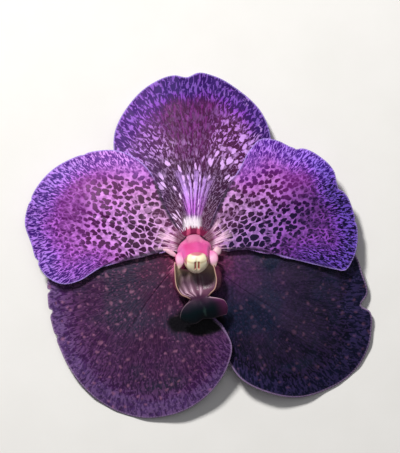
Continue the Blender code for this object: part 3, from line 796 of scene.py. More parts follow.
class Recipe:
    """Adds shader nodes to a tree. Its methods return a Value for the next formula."""

    def __init__(self, tree):
        self.tree = tree

    def node(self, kind, inputs=None, **settings):
        """A node with these settings, and these values or constants in its inputs."""
        node = self.tree.nodes.new(kind)
        for name, value in settings.items():
            setattr(node, name, value)
        for name, value in (inputs or {}).items():
            self.feed(node.inputs[name], value)
        return node

    def feed(self, socket, value):
        """Link a value to an input, or set a constant on it."""
        if isinstance(value, Value):
            self.tree.links.new(value.socket, socket)
        else:
            socket.default_value = value

    def value(self, kind, inputs=None, output=0, **settings):
        return Value(self, self.node(kind, inputs, **settings).outputs[output])

    def values(self, node):
        return {socket.name: Value(self, socket) for socket in node.outputs}

    def math(self, operation, *values):
        return self.value("ShaderNodeMath", dict(enumerate(values)), operation=operation)

    def larger(self, first, second):
        return self.math("MAXIMUM", first, second)

    def mark(self, name):
        """The number that the mesh carries under this name."""
        return self.value("ShaderNodeAttribute", output="Fac", attribute_name=name)

    def place(self):
        return self.value("ShaderNodeTexCoord", output="Object")

    def flat(self, x, y):
        return self.value("ShaderNodeCombineXYZ", {"X": x, "Y": y})

    def fade(self, value, start, stop, low=0.0, high=1.0):
        """low before start, high after stop, and a smooth step between them."""
        inputs = {"Value": value, "From Min": start, "From Max": stop}
        inputs.update({"To Min": low, "To Max": high})
        return self.value("ShaderNodeMapRange", inputs, interpolation_type="SMOOTHSTEP")

    def within(self, value, start, full, last, stop):
        """1 between full and last, and 0 before start and after stop."""
        return self.fade(value, start, full) * self.fade(value, stop, last)

    def noise(self, vector, scale, detail):
        inputs = {"Vector": vector, "Scale": scale, "Detail": detail}
        return self.value("ShaderNodeTexNoise", inputs)

    def blend(self, share, first, second):
        """One number at share 0, the other at share 1."""
        return self.value("ShaderNodeMix", {0: share, 2: first, 3: second})

    def mix(self, share, first, second, way="MIX"):
        """The same for two colours."""
        inputs = {0: share, 6: first, 7: second}
        return self.value("ShaderNodeMix", inputs, 2, data_type="RGBA", blend_type=way)

    def ramp(self, value, stops):
        """A colour ramp with these (position, colour) stops."""
        node = self.node("ShaderNodeValToRGB", {"Fac": value})
        elements = node.color_ramp.elements
        while len(elements) < len(stops):
            elements.new(0.5)
        for element, (position, colour) in zip(elements, stops):
            element.position = position
            element.color = colour
        return Value(self, node.outputs[0])

    def group(self, tree, **inputs):
        """A node group with these inputs; returns its values by name."""
        named = {name.capitalize(): value for name, value in inputs.items()}
        return self.values(self.node("ShaderNodeGroup", named, node_tree=tree))


class Finish(Recipe):
    """The recipe of a whole material, which ends in its Principled shader."""

    def __init__(self, name):
        self.material = bpy.data.materials.new(name + "_finish")
        self.material.use_nodes = True
        super().__init__(self.material.node_tree)

    def bump(self, height, strength, distance):
        """A normal that is tilted by the slopes of the height."""
        inputs = {"Strength": strength, "Distance": distance, "Height": height}
        return self.value("ShaderNodeBump", inputs)

    def shade(self, inputs):
        """Feed these inputs of the shader, and return the finished material."""
        shader = self.tree.nodes["Principled BSDF"]
        for name, value in inputs.items():
            self.feed(shader.inputs[name], value)
        print("material:", self.material.name)
        return self.material


# %% [markdown]
# ### Cells, mottling and skin
# The colour of a vanda sits in cells between a net of paler veins. Voronoi texture draws just
# that: its distance to the edge of a cell is small along the net and large inside. The group
# takes two numbers that say where on the blade a point is, in cells, so that the same nodes
# can draw round spots in millimetres or long cells that fan out with the veins. A little noise
# added to the two numbers keeps the net from looking drawn with a ruler.

# %% Group: cells


def new_group(name, inputs, outputs):
    """An empty shader node group with number inputs and outputs of these names. Returns the
    group, its recipe, the values that come in and the sockets that lead out."""
    tree = bpy.data.node_groups.new(name, "ShaderNodeTree")
    for way, names in (("INPUT", inputs), ("OUTPUT", outputs)):
        for socket in names:
            tree.interface.new_socket(socket, in_out=way, socket_type="NodeSocketFloat")
    r = Recipe(tree)
    print("group:", name)
    return tree, r, r.values(r.node("NodeGroupInput")), r.node("NodeGroupOutput").inputs


cells_group, r, entry, leave = new_group(
    "cells", ["Along", "Across", "Wobble"], ["Edge", "Middle", "Random"]
)
straight = r.flat(entry["Along"], entry["Across"])
shifts = r.value("ShaderNodeTexNoise", {"Vector": straight, "Scale": 0.8, "Detail": 3.0}, "Color")
shift = r.value("ShaderNodeVectorMath", {0: shifts, 1: (0.5, 0.5, 0.5)}, operation="SUBTRACT")
scaled = r.value("ShaderNodeVectorMath", {0: shift, "Scale": entry["Wobble"]}, operation="SCALE")
wobbly = r.value("ShaderNodeVectorMath", {0: straight, 1: scaled}, operation="ADD")
cells_for = {"Vector": wobbly, "Scale": 1.0, "Randomness": 0.85}
to_edge = r.value("ShaderNodeTexVoronoi", cells_for, "Distance", voronoi_dimensions="2D",
                  feature="DISTANCE_TO_EDGE")
cell = r.values(r.node("ShaderNodeTexVoronoi", cells_for, voronoi_dimensions="2D", feature="F1"))
r.feed(leave["Edge"], to_edge)
r.feed(leave["Middle"], cell["Distance"])
r.feed(leave["Random"], r.value("ShaderNodeSeparateColor", {"Color": cell["Color"]}))

# %% [markdown]
# Towards the margin the cells break up into short worm-like marks that run with the veins, and
# at the claw into long streaks. Both are noise on stretched coordinates, cut to a high
# contrast: the more it is stretched along the vein, the more it looks like a streak. All parts
# share a fleshy skin, a fine grain for the bump and a broad one that makes the gloss uneven.

# %% Groups: mottle and skin
mottle_group, r, entry, leave = new_group(
    "mottle", ["Along", "Across", "Low", "High"], ["Value"]
)
grainy = {"Vector": r.flat(entry["Along"], entry["Across"]), "Scale": 1.0, "Detail": 2.0}
grainy.update({"Roughness": 0.6, "Distortion": 0.5})
grains = r.value("ShaderNodeTexNoise", grainy, noise_dimensions="2D")
r.feed(leave["Value"], r.fade(grains, entry["Low"], entry["High"]))

skin_group, r, entry, leave = new_group("petal skin", ["Fineness"], ["Height", "Tone"])
skin_place = r.place()
r.feed(leave["Height"], r.noise(skin_place, entry["Fineness"] * 2600.0, 2.0))
r.feed(leave["Tone"], r.noise(skin_place, entry["Fineness"] * 130.0, 3.0))

# %% [markdown]
# All five blades start from the same measurements: where a point is along and across the
# blade in millimetres, its vein, and its zone, which runs from 0 at the claw to 1 at the
# margin. One class reads them and works out the patterns that more than one blade uses.

# %% What the blades' finishes share
BLADE_MARKS = ["vein", "out_mm", "rim_mm", "zone", "flat_x", "flat_y", "high", "upper",
               "bloom_x", "bloom_y"]
print("marks on each blade:", ", ".join(BLADE_MARKS))


class BladeFinish(Finish):
    """The finish of a blade, with its marks and its shared patterns already in place."""

    def __init__(self, name):
        super().__init__(name)
        for mark in BLADE_MARKS:
            setattr(self, mark, self.mark(mark))
        self.on_blade = self.flat(self.flat_x, self.flat_y)
        self.skin = self.group(skin_group, fineness=1.0)
        self.zone_here = self.zone + (self.skin["Tone"] - 0.5) * 0.32

    def cells(self, long, wide, wobble):
        """Cells of that length and width in millimetres, the same size all over the blade."""
        along, across = self.flat_x / long, self.flat_y / wide
        return self.group(cells_group, along=along, across=across, wobble=wobble)

    def vein_cells(self, long, rows, wobble):
        """Cells between that many veins, which widen as the veins fan out."""
        along, across = self.out_mm / long, self.vein * rows
        return self.group(cells_group, along=along, across=across, wobble=wobble)

    def marks_along(self, long, rows, low, high):
        """Mottling between that many veins; a long one looks like streaks."""
        along, across = self.out_mm / long, self.vein * rows
        return self.group(mottle_group, along=along, across=across, low=low, high=high)["Value"]

    def finished(self, colour, rim, rim_width, back, relief, roughness):
        """Pale rim line, paler back, bump and gloss, the same steps for every blade."""
        edge = self.fade(self.rim_mm, rim_width, rim_width * 0.3)
        edge = edge * self.fade(self.zone, 0.35, 0.6)
        colour = self.mix(edge * 0.85, colour, rim)
        veins = self.marks_along(16.0, 26.0, 0.4, 0.62)
        tone = self.skin["Tone"]
        return self.shade({
            "Base Color": self.mix(self.upper, self.mix(veins, *back), colour),
            "Roughness": self.fade(tone, 0.3, 0.7, roughness - 0.07, roughness + 0.07),
            "Normal": self.bump(relief + self.skin["Height"] * 0.3, 0.6, 0.0002),
            "Specular IOR Level": 0.18,
            "Sheen Weight": 0.04,
            "Sheen Roughness": 0.4,
            "Sheen Tint": paint(190, 180, 255),
        })


# %% [markdown]
# ### The petals
# A petal is lilac with dark maroon spots. Near the claw they are rounded cells in a thin lilac
# net; further out and higher up they come apart in a magenta flush, and the margin is violet
# with fine marks along the veins. An image could be painted for it; nodes were chosen because
# they stay sharp at any distance and follow the veins by themselves.

# %% Pattern of the petals


def petal_spots(r, uneven, looser):
    """1 inside the dark spots: cells with rounded corners and ragged sides, and small discs
    instead where looser is 1."""
    cell = r.cells(2.55, 1.85, 0.9)
    corner = r.larger(0.0, cell["Middle"] - 0.36)
    line = corner * 0.8 + r.fade(uneven, 0.3, 0.7, 0.1, 0.0)
    line = line + (r.noise(r.on_blade, 1.5, 2.0) - 0.5) * 0.24
    filled = r.fade(cell["Edge"] - line, -0.04, 0.06)
    reach = r.fade(uneven, 0.3, 0.7, 0.34, 0.52)
    single = r.fade(r.cells(1.85, 1.45, 1.0)["Middle"] - reach, 0.06, -0.08)
    return r.blend(looser, filled, single)


def petal_pattern(r, uneven, high_up):
    """How pale each point is, and the relief. From the claw out: the net between the spots, a
    smaller net with worm-like marks, and fine marks along the veins of the margin."""
    looser = r.larger(high_up, r.fade(r.out_mm + uneven * 8.0, 22.0, 24.0))
    dark = petal_spots(r, uneven, looser)
    shine = r.fade(r.noise(r.on_blade, 0.7, 2.0), 0.35, 0.6, 0.5, 1.0)
    net = (1.0 - dark) * (shine * r.fade(high_up, 0.0, 1.0, 1.0, 0.8))
    dots = r.cells(1.6, 1.25, 1.1)
    broken = r.fade(r.noise(r.on_blade, 0.55, 2.0), 0.42, 0.56)
    worms = r.marks_along(1.8, 118.0, 0.38, 0.62) * r.fade(dots["Middle"], 0.15, 0.4, 0.05, 0.5)
    middle = r.larger(r.fade(dots["Edge"], 0.22, 0.08) * broken, worms)
    fine = r.marks_along(1.5, 186.0, 0.45, 0.6)
    to_middle = r.fade(r.zone_here - high_up * 0.08, 0.42, 0.64)
    to_margin = r.fade(r.zone_here, 0.6, 0.84)
    pale = r.blend(to_margin, r.blend(to_middle, net, middle), fine)
    return pale, r.blend(to_middle, dark, 1.0 - fine)


# %% [markdown]
# Two colours make a petal: the dark of the spots, and the lilac of the net and the marks. Both
# drift from the claw to the margin, so each is a colour ramp over the zone, and the pattern
# only says where to show which of the two. The claw is painted over both.

# %% Colours of the petals


def petal_colours(r, flush):
    """The dark ground and the lilac over it, from the claw to the margin; both are brighter
    high on the petal, and the ground is magenta in the flush."""
    ground = r.ramp(r.zone_here, [
        (0.0, paint(96, 26, 74)), (0.2, paint(64, 14, 54)), (0.42, paint(88, 16, 80)),
        (0.6, paint(90, 12, 102)), (0.8, paint(74, 14, 116)), (1.0, paint(66, 22, 124)),
    ])
    lilac = r.ramp(r.zone_here, [
        (0.0, paint(244, 190, 230)), (0.2, paint(240, 178, 236)), (0.42, paint(230, 144, 234)),
        (0.6, paint(214, 120, 228)), (0.8, paint(200, 124, 234)), (1.0, paint(184, 138, 232)),
    ])
    above = r.fade(r.high, 4.0, 16.0) * r.fade(r.zone, 0.3, 0.6) * 0.5
    ground = r.mix(above, r.mix(flush * 0.5, ground, paint(122, 18, 122)), paint(112, 44, 152))
    return ground, r.mix(above, lilac, paint(224, 156, 240))


def petal_claw_and_edge_shade(r, colour):
    """Pink streaks over maroon at the claw, darkened at its very base as painted shade, and a
    dark line of painted shade along both edges near the claw.
    """
    streaks = r.marks_along(15.0, 13.0, 0.42, 0.56)
    claw = r.mix(streaks, paint(142, 62, 112), paint(234, 190, 220))
    # Painted shade: darker maroon at the very base of the claw, beside the column.
    base_shade_reach = r.out_mm - r.high * 0.5
    claw = r.mix(r.fade(base_shade_reach, 3.0, 0.8, 0.0, 0.85), claw, paint(88, 34, 58))
    colour = r.mix(r.fade(r.out_mm + streaks * -3.5, 5.5, 0.6), colour, claw)
    # Painted shade: a dark line along both edges of the petal near the claw.
    sides = r.fade(abs(r.high), 3.0, 4.6) * r.within(r.out_mm, 1.0, 5.0, 16.0, 30.0)
    sides = sides * r.fade(r.rim_mm, 1.5, 0.4) * 0.9
    return r.mix(sides, colour, paint(38, 18, 48))


# %% [markdown]
# The two petals have the same pattern, but the right one is painted darker, above all along
# its lower edge: painted shade on the side away from the light. One function makes both, with
# a tint for each, so that a change to the pattern can't make them strangers.

# %% Finish of the petals


def petal_finish(name, tint, low_shade_tint, low_shade_share):
    """A petal's material. tint is a ramp over the zone that multiplies the colour as painted
    shade, and the low tint does the same towards the lower edge, where the last number is the
    share of very dark ground, painted shade as well."""
    r = BladeFinish(name)
    uneven = r.noise(r.on_blade, 0.36, 2.0)
    uneven_high = r.high + uneven * 8.0
    pale, relief = petal_pattern(r, uneven, r.fade(uneven_high, 6.0, 12.0))
    off_flush = ((r.high + 1.0) / 11.0) ** 2.0 + ((r.zone_here - 0.56) / 0.17) ** 2.0
    flush = r.fade(off_flush, 1.5, 0.1)
    ground, lilac = petal_colours(r, flush)
    # Painted shade: very dark ground towards the petal's lower edge, strong on the right petal.
    ground = r.mix(r.fade(uneven_high, 9.0, 0.0) * low_shade_share, ground, paint(34, 12, 58))
    colour = r.mix(pale * r.fade(flush, 0.0, 1.0, 1.0, 0.6), ground, lilac)
    # Painted shade: the tint ramp darkens the colour, most on the right petal's margin.
    colour = r.mix(1.0, colour, r.ramp(r.zone, tint), "MULTIPLY")
    # Painted shade: darker again towards the petal's lower edge.
    lower = r.fade(r.high + r.skin["Tone"] * 6.0, 15.0, -3.0)
    colour = r.mix(lower, colour, r.mix(1.0, colour, low_shade_tint, "MULTIPLY"))
    back = (paint(160, 115, 190), paint(196, 166, 220))
    return r.finished(petal_claw_and_edge_shade(r, colour), paint(176, 148, 230), 0.55, back, relief, 0.5)


# %% [markdown]
# ### The dorsal sepal
# The dorsal sepal is the other way round: maroon, with pale blotches set in rows between the
# veins. They grow towards the right, thin out in the middle, and turn to long white streaks
# above the claw, where a white patch and then three maroon bars close the pattern. Cells
# between the veins keep the rows in order, which scattered dots would not.

# %% Pattern and colours of the dorsal sepal


def dorsal_pattern(r, right, calm):
    """How pale each point is, the big blotches alone, and the relief. Chance picks the cells
    that turn pale, more of them to the right; calm thins all of it out in the middle."""
    cell = r.vein_cells(2.7, 42.0, 1.5)
    chosen = cell["Random"] + right * 0.22 + r.fade(r.out_mm, 26.0, 18.0) * 0.16
    chosen = chosen - right * r.fade(r.out_mm, 24.0, 16.0) * 0.55
    big = r.fade(cell["Middle"], 0.5, 0.32) * r.fade(chosen, 0.76, 0.9)
    flecks = r.marks_along(1.5, 92.0, 0.51, 0.61) * r.fade(r.out_mm, 30.0, 22.0, 0.85, 0.3)
    fine = r.marks_along(2.0, 140.0, 0.48, 0.6)
    pale = r.blend(r.fade(r.zone_here, 0.54, 0.74), r.larger(big, flecks), fine)
    return pale * r.fade(calm, 0.0, 1.0, 1.0, 0.14), big, r.larger(big, 1.0 - fine)


def dorsal_colours(r, right, calm, centred, big):
    """The maroon ground and the lilac over it: paler at the sides and in the big blotches to
    the right, more violet to the left, and a violet glow above the claw."""
    ground = r.ramp(r.zone_here, [
        (0.0, paint(86, 26, 66)), (0.2, paint(52, 16, 52)), (0.45, paint(72, 16, 66)),
        (0.65, paint(62, 8, 64)), (0.82, paint(50, 4, 80)), (1.0, paint(42, 8, 90)),
    ])
    lilac = r.ramp(r.zone_here, [
        (0.0, paint(240, 204, 240)), (0.25, paint(228, 184, 246)), (0.5, paint(200, 134, 228)),
        (0.7, paint(160, 84, 202)), (0.85, paint(126, 60, 178)), (1.0, paint(114, 72, 168)),
    ])
    sides = r.fade(abs(r.flat_y), 11.0, 19.0) * r.fade(r.out_mm, 42.0, 32.0)
    lilac = r.mix(sides * 0.6, lilac, paint(206, 156, 240))
    lilac = r.mix(big * (right * 0.4), lilac, paint(216, 172, 240))
    left = r.fade(r.flat_y, 6.0, 16.0) * 0.4
    lilac = r.mix(left, lilac, paint(170, 104, 216))
    ground = r.mix(left, ground, paint(78, 22, 116))
    lit = centred * r.fade(r.out_mm, 19.0, 9.0)
    ground = r.mix(lit * 0.8, ground, paint(112, 26, 140))
    thin = r.marks_along(3.0, 104.0, 0.49, 0.6)
    return r.mix(calm * thin * 0.75, ground, paint(116, 36, 120)), lilac


# %% [markdown]
# Above the claw the pattern changes within a few millimetres, so it is laid over the rest in
# layers: streaks that tear off upwards, then the white patch, then the bars. The bars are the
# crests of a sine across the blade, shifted a little by the skin's broad grain.

# %% Finish of the dorsal sepal


def dorsal_claw(r, colour, centred):
    """Long torn streaks, then the white patch, then maroon bars that are waves across."""
    streaks = r.marks_along(20.0, 24.0, 0.46, 0.56)
    torn = r.out_mm + r.noise(r.on_blade, 0.5, 2.0) * 12.0
    white = r.mix(r.fade(r.out_mm, 6.0, 15.0), paint(214, 112, 234), paint(208, 156, 248))
    colour = r.mix(streaks * centred * r.fade(torn, 28.0, 20.0), colour, white)
    ragged = r.out_mm + streaks * -0.9
    patch = r.within(ragged, 1.5, 2.1, 3.6, 6.4) * r.fade(abs(r.flat_y - 0.6), 3.4, 1.6)
    colour = r.mix(patch, colour, paint(252, 240, 252))
    wave = r.math("SINE", r.flat_y * 1.9 + r.skin["Tone"] * 2.4)
    bars = r.mix(r.fade(wave, -0.9, -0.1), paint(204, 80, 124), paint(124, 24, 70))
    return r.mix(r.fade(ragged, 2.2, 1.7), colour, bars)


def dorsal_finish():
    """The dorsal sepal's material, with its middle strip marked as calm."""
    r = BladeFinish("dorsal_sepal")
    right = r.fade(r.vein, 0.46, 0.3)
    centred = r.fade(abs(r.vein - 0.51), 0.25, 0.1)
    off_middle = ((r.vein - 0.52) / 0.12) ** 2.0
    calm = r.fade(off_middle, 1.7, 0.1) * r.within(r.zone_here, 0.3, 0.5, 0.62, 0.92)
    pale, big, relief = dorsal_pattern(r, right, calm)
    ground, lilac = dorsal_colours(r, right, calm, centred, big)
    colour = dorsal_claw(r, r.mix(pale * 0.94, ground, lilac), centred)
    back = (paint(150, 108, 182), paint(188, 160, 214))
    return r.finished(colour, paint(166, 140, 220), 0.55, back, relief, 0.54)


# %% [markdown]
# ### The lateral sepals
# The two lateral sepals look almost plain from afar: dark aubergine that drifts to slate. Up
# close they have the same cells, all dark, with a pinkish fleck in some of them, paler streaks
# along the veins that are a painted highlight on broad folds, and fine marks towards the
# margin. Where the lip stands over them a painted shadow makes them almost black. One dark
# colour would be quicker, but from near it looks like plastic.

# %% Finish of the lateral sepals


def lateral_pattern(r):
    """Two masks: fine marks along the veins, stronger towards the margin, with pale grains
    between them; and soft round flecks, each with a size of its own. Also the relief."""
    soft = r.marks_along(2.2, 158.0, 0.45, 0.6) * r.fade(r.zone, 0.3, 0.9, 0.45, 1.0)
    grains = r.cells(1.1, 0.9, 1.0)
    bright = r.fade(grains["Middle"], 0.45, 0.1) * r.fade(grains["Random"], 0.5, 0.9)
    cell = r.cells(2.6, 2.4, 1.2)
    size = r.fade(cell["Random"], 0.4, 1.0, 0.1, 0.36)
    flecks = r.fade(cell["Middle"], size, 0.02) * r.fade(cell["Random"], 0.35, 1.0)
    dents = r.fade(r.cells(1.5, 1.2, 1.2)["Edge"], 0.0, 0.4, 0.0, 0.2)
    return r.larger(soft * 0.46, bright * 0.6), flecks, soft * 0.5 + dents


def lateral_claw_and_lip_shadow(r, colour):
    """Pink streaks at the claw, and a near-black painted shadow where the lip shades the sepal:
    inside an oval round a point 22.6 mm below the bloom's middle."""
    streaks = r.marks_along(10.0, 12.0, 0.45, 0.6)
    claw = r.mix(streaks, paint(120, 26, 66), paint(220, 116, 160))
    colour = r.mix(r.fade(r.out_mm + streaks * -2.0, 4.4, 0.6), colour, claw)
    # Painted shadow: near black inside an oval just below the lip's front lobe.
    ahead = (r.bloom_y + (r.skin["Tone"] - 0.5) * 6.0 + 22.6) / 3.6
    lip_shadow_distance = ahead**2.0 + ((r.bloom_x - 0.8) / 9.0) ** 4.0
    return r.mix(r.fade(lip_shadow_distance, 1.5, 0.6), colour, paint(10, 7, 14))


def lateral_finish(name, stops, slate_colour, grain_colour, lift_tint, lift, fold_highlight_share):
    """A lateral sepal's material. stops is the ramp of the ground colour, lift scales all that
    is paler and lift_tint colours it, and the last number sets how strong the painted highlight
    is that lies as broad pale streaks along the veins."""
    r = BladeFinish(name)
    slate = r.fade(r.noise(r.on_blade, 0.055, 2.0), 0.44, 0.6)
    slate = slate * r.within(r.zone, 0.08, 0.2, 0.6, 0.85)
    ground = r.mix(slate, r.ramp(r.zone_here, stops), slate_colour)
    grain = r.fade(r.noise(r.on_blade, 1.1, 3.0), 0.36, 0.62)
    ground = r.mix(grain * 0.55, ground, grain_colour)
    # Painted highlight: broad paler streaks along the veins, standing for light on folds.
    fold_highlight = r.marks_along(34.0, 11.0, 0.42, 0.64) * r.within(r.zone, 0.12, 0.3, 0.7, 0.95)
    ground = r.mix(fold_highlight * (0.4 * fold_highlight_share), ground, paint(92, 72, 104))
    lifted = r.ramp(r.zone_here, [
        (0.0, paint(150, 62, 104)), (0.3, paint(122, 74, 110)), (0.7, paint(126, 76, 132)),
        (1.0, paint(140, 104, 162)),
    ])
    paler, flecks, relief = lateral_pattern(r)
    colour = r.mix(paler * lift, ground, r.mix(1.0, lifted, lift_tint, "MULTIPLY"))
    colour = r.mix(flecks * (0.5 * lift), colour, paint(176, 116, 148))
    back = (paint(112, 84, 132), paint(150, 122, 168))
    rim = paint(158, 130, 172)
    return r.finished(lateral_claw_and_lip_shadow(r, colour), rim, 0.7, back, relief, 0.5)


# %% [markdown]
# Now each blade gets its own colours. The lateral sepals share one function as the petals do:
# the left is aubergine, and the right is painted almost blue-black with less contrast, as
# painted shade on the side away from the light.

# %% Give the five blades their finishes
finishes = {
    "dorsal_sepal": dorsal_finish(),
    "left_petal": petal_finish("left_petal", [
        (0.0, paint(244, 240, 250)), (0.6, paint(250, 244, 255)), (1.0, paint(250, 240, 250)),
    ], paint(236, 230, 246), 0.15),
    # The right petal's stronger tints and very dark lower ground are painted shade.
    "right_petal": petal_finish("right_petal", [
        (0.0, paint(240, 238, 246)), (0.3, paint(236, 230, 250)), (0.6, paint(242, 226, 255)),
        (1.0, paint(212, 208, 255)),
    ], paint(196, 190, 220), 0.95),
    "left_lateral_sepal": lateral_finish("left_lateral_sepal", [
        (0.0, paint(112, 30, 70)), (0.12, paint(64, 26, 58)), (0.4, paint(58, 26, 64)),
        (0.7, paint(64, 28, 76)), (0.9, paint(70, 32, 88)), (1.0, paint(84, 54, 110)),
    ], paint(42, 40, 62), paint(34, 18, 40), paint(255, 255, 255), 1.0, 0.22),
    # The right lateral sepal's near-black ramp, bluish lift and weak contrast are painted shade.
    "right_lateral_sepal": lateral_finish("right_lateral_sepal", [
        (0.0, paint(112, 30, 70)), (0.12, paint(86, 42, 90)), (0.3, paint(60, 38, 76)),
        (0.5, paint(24, 20, 42)), (0.8, paint(2, 4, 22)), (1.0, paint(10, 14, 44)),
    ], paint(20, 31, 56), paint(8, 8, 22), paint(200, 216, 255), 0.34, 0.3),
}
for blade_name, piece in blades.items():
    piece.data.materials.append(finishes[blade_name])

# %% [markdown]
# ### The lip
# The lip is the darkest part: a glossy front lobe of almost black teal, a purple-brown cup
# that turns olive towards the column, and a thin cream rim. The same attributes that made its
# shape, along and across, tell the material where each of these begins.

# %% Finish of the lip


def lip_ground(r, along, across, tone):
    """The inside along the lip, with paler ridges and back corners of the cup, and the pink
    to maroon outside; the mark upper says which side a point is on."""
    inside = r.ramp(along + tone, [
        (0.0, paint(215, 160, 170)), (0.1, paint(150, 128, 112)), (0.2, paint(108, 86, 92)),
        (0.3, paint(92, 64, 82)), (0.44, paint(104, 66, 88)), (0.54, paint(66, 36, 60)),
        (0.68, paint(30, 24, 38)), (0.82, paint(8, 22, 27)), (1.0, paint(10, 15, 24)),
    ])
    corners = r.fade(abs(across), 0.3, 0.8) * r.fade(along, 0.42, 0.2)
    inside = r.mix(corners * 0.85, inside, paint(206, 188, 152))
    inside = r.mix(r.mark("ridge") * 0.75, inside, paint(206, 168, 190))
    outside = r.ramp(along + tone, [
        (0.0, paint(190, 104, 140)), (0.12, paint(112, 46, 76)), (0.4, paint(72, 24, 48)),
        (0.7, paint(40, 16, 36)), (1.0, paint(30, 18, 34)),
    ])
    return r.mix(r.mark("upper"), outside, inside)


def lip_details(r, colour, along, across, tone):
    """The cup's cream rim, the purple right wing, a teal line on the keel that is a painted glint,
    and the front lobe's pale edge, a painted highlight that is brighter to the right."""
    rim_mm = r.mark("rim_mm")
    rim_width = r.fade(r.mark("upper"), 0.0, 1.0, 0.1, 0.26)
    rim = r.fade(rim_mm, rim_width, 0.05) * r.fade(along, 0.58, 0.46)
    colour = r.mix(rim, colour, paint(186, 150, 132))
    wing = r.fade(across, 0.25, 0.95) * r.fade(along, 0.6, 0.72)
    colour = r.mix(wing * 0.85, colour, paint(110, 46, 96))
    # Painted glint: a thin teal line along the keel of the front lobe.
    keel = r.fade(abs(across + tone), 0.05, 0.0) * r.within(along, 0.72, 0.86, 0.9, 0.98)
    colour = r.mix(keel * 0.3, colour, paint(70, 96, 90))
    # Painted highlight: a pale line along the front lobe's edge, brightest to the right.
    highlight_to_right = r.fade(across, 0.3, 0.9, 0.25, 1.0) * r.fade(along, 1.0, 0.8, 0.3, 1.0)
    edge = r.fade(rim_mm, 0.5, 0.12) * r.fade(along, 0.56, 0.62) * highlight_to_right
    return r.mix(edge * 0.85, colour, paint(196, 160, 180))


def lip_finish():
    """The lip's material, which is satin in the cup and glossy on the front lobe's dark."""
    r = Finish("lip")
    along, across = r.mark("along"), r.mark("across")
    skin = r.group(skin_group, fineness=1.6)
    tone = (skin["Tone"] - 0.5) * 0.25
    ground = lip_ground(r, along, across, tone)
    return r.shade({
        "Base Color": lip_details(r, ground, along, across, tone),
        "Roughness": r.fade(along, 0.5, 0.66, 0.28, 0.6) + tone * 0.4,
        "Specular IOR Level": r.fade(along, 0.5, 0.64, 0.24, 0.08),
        "Normal": r.bump(skin["Height"], 0.4, 0.0001),
    })


lip.data.materials.append(lip_finish())
spur.data.materials.append(lip.data.materials[0])

# %% [markdown]
# ### The column and the small parts
# The column is clear pink, paler towards the sides, with a duller pink at the foot that is
# painted shade among the claws. The cap is cream with a brownish hood at its back and red in
# its slits, and its own x and y place each of them.

# %% Colours of the column and the cap


def column_colour(r, tone):
    """Hot pink on the back, paler to the sides, and a duller pink at the foot as painted shade."""
    behind = r.math("COSINE", r.mark("turn") - math.pi / 2)
    sides = r.mix(r.fade(behind, 0.1, 0.75), paint(226, 118, 186), paint(204, 56, 128))
    patches = r.mix(r.fade(tone, 0.35, 0.65, 0.0, 0.6), sides, paint(216, 90, 164))
    # Painted shade: the foot, where the collar lies on the claws, is a duller, darker pink.
    return r.mix(r.fade(r.mark("along"), 0.16, 0.42), paint(196, 112, 150), patches)


def cap_colour(r, tone):
    """Two cream lobes inside a brownish-pink hood, a cream front edge, and two red slits."""
    x, y = r.mark("cap_x"), r.mark("cap_y")
    cream = r.mix(r.fade(tone, 0.3, 0.7), paint(255, 246, 220), paint(255, 240, 192))
    cream = r.mix(r.fade(y, 0.2, -1.6, 0.0, 0.8), cream, paint(255, 232, 206))
    off_lobes = (x / 3.3) ** 4.0 + ((y + 0.6) / 4.1) ** 4.0
    hood = r.fade(off_lobes, 0.65, 0.9) * r.fade(y, -0.8, 0.8)
    colour = r.mix(hood, cream, paint(190, 112, 122))
    sides = r.fade(abs(x), 2.5, 3.4) * r.fade(y, 0.5, -1.0)
    colour = r.mix(sides * 0.7, colour, paint(205, 165, 120))
    fold = r.fade(abs(y - 1.5), 0.5, 0.1)
    colour = r.mix(fold * 0.4, colour, paint(196, 156, 104))
    slits = r.fade(abs(abs(x) - 0.55), 0.38, 0.12) * r.within(y, -1.3, -0.8, 1.6, 2.1)
    return r.mix(slits, colour, paint(200, 92, 90))


# %% [markdown]
# Pollinia are waxy and yellow, and the stalk is pale lilac with greener, darker grooves
# between its ribs. The ears and rolls are the palest flesh of the bloom, flushed with magenta
# where they touch the column. They are small, so soft changes along each are enough.

# %% Colours of the other small parts


def pollen_colour(r, tone):
    """Waxy yellow in two tones."""
    return r.mix(r.fade(tone, 0.3, 0.7), paint(240, 200, 60), paint(225, 170, 40))


def stalk_colour(r, tone):
    """Pale lilac ribs, greenish in the grooves, darker along the stalk."""
    ribs = r.fade(r.math("COSINE", r.mark("rib")), -0.9, 0.5)
    start = r.mix(ribs, paint(150, 150, 120), paint(205, 185, 220))
    end = r.mix(ribs, paint(110, 105, 95), paint(165, 140, 180))
    return r.mix(r.fade(r.mark("along") + tone * 0.3, 0.3, 0.9), start, end)


def ear_colour(r, tone):
    """Pale pink above, magenta towards the underside, cream at the front end."""
    along = r.mark("along")
    above = r.fade(r.mark("across"), 0.1, 0.9)
    body = r.mix(above, paint(200, 88, 138), paint(224, 164, 196))
    body = r.mix(r.fade(along, 0.45, 0.1), body, paint(222, 122, 178))
    front = r.mix(tone, paint(226, 196, 190), paint(214, 190, 160))
    return r.mix(r.fade(along, 0.6, 0.95), body, front)


def roll_colour(r, tone):
    """Pinkish white with a flush of magenta at the column's end."""
    body = r.mix(r.fade(tone, 0.35, 0.65), paint(232, 196, 204), paint(210, 156, 178))
    return r.mix(r.fade(r.mark("along"), 0.75, 1.0), body, paint(206, 86, 130))


# %% [markdown]
# All of these are the same kind of flesh. One function gives each its skin, gloss and bump,
# and is handed the function that makes its colour.

# %% Give the small parts their finishes


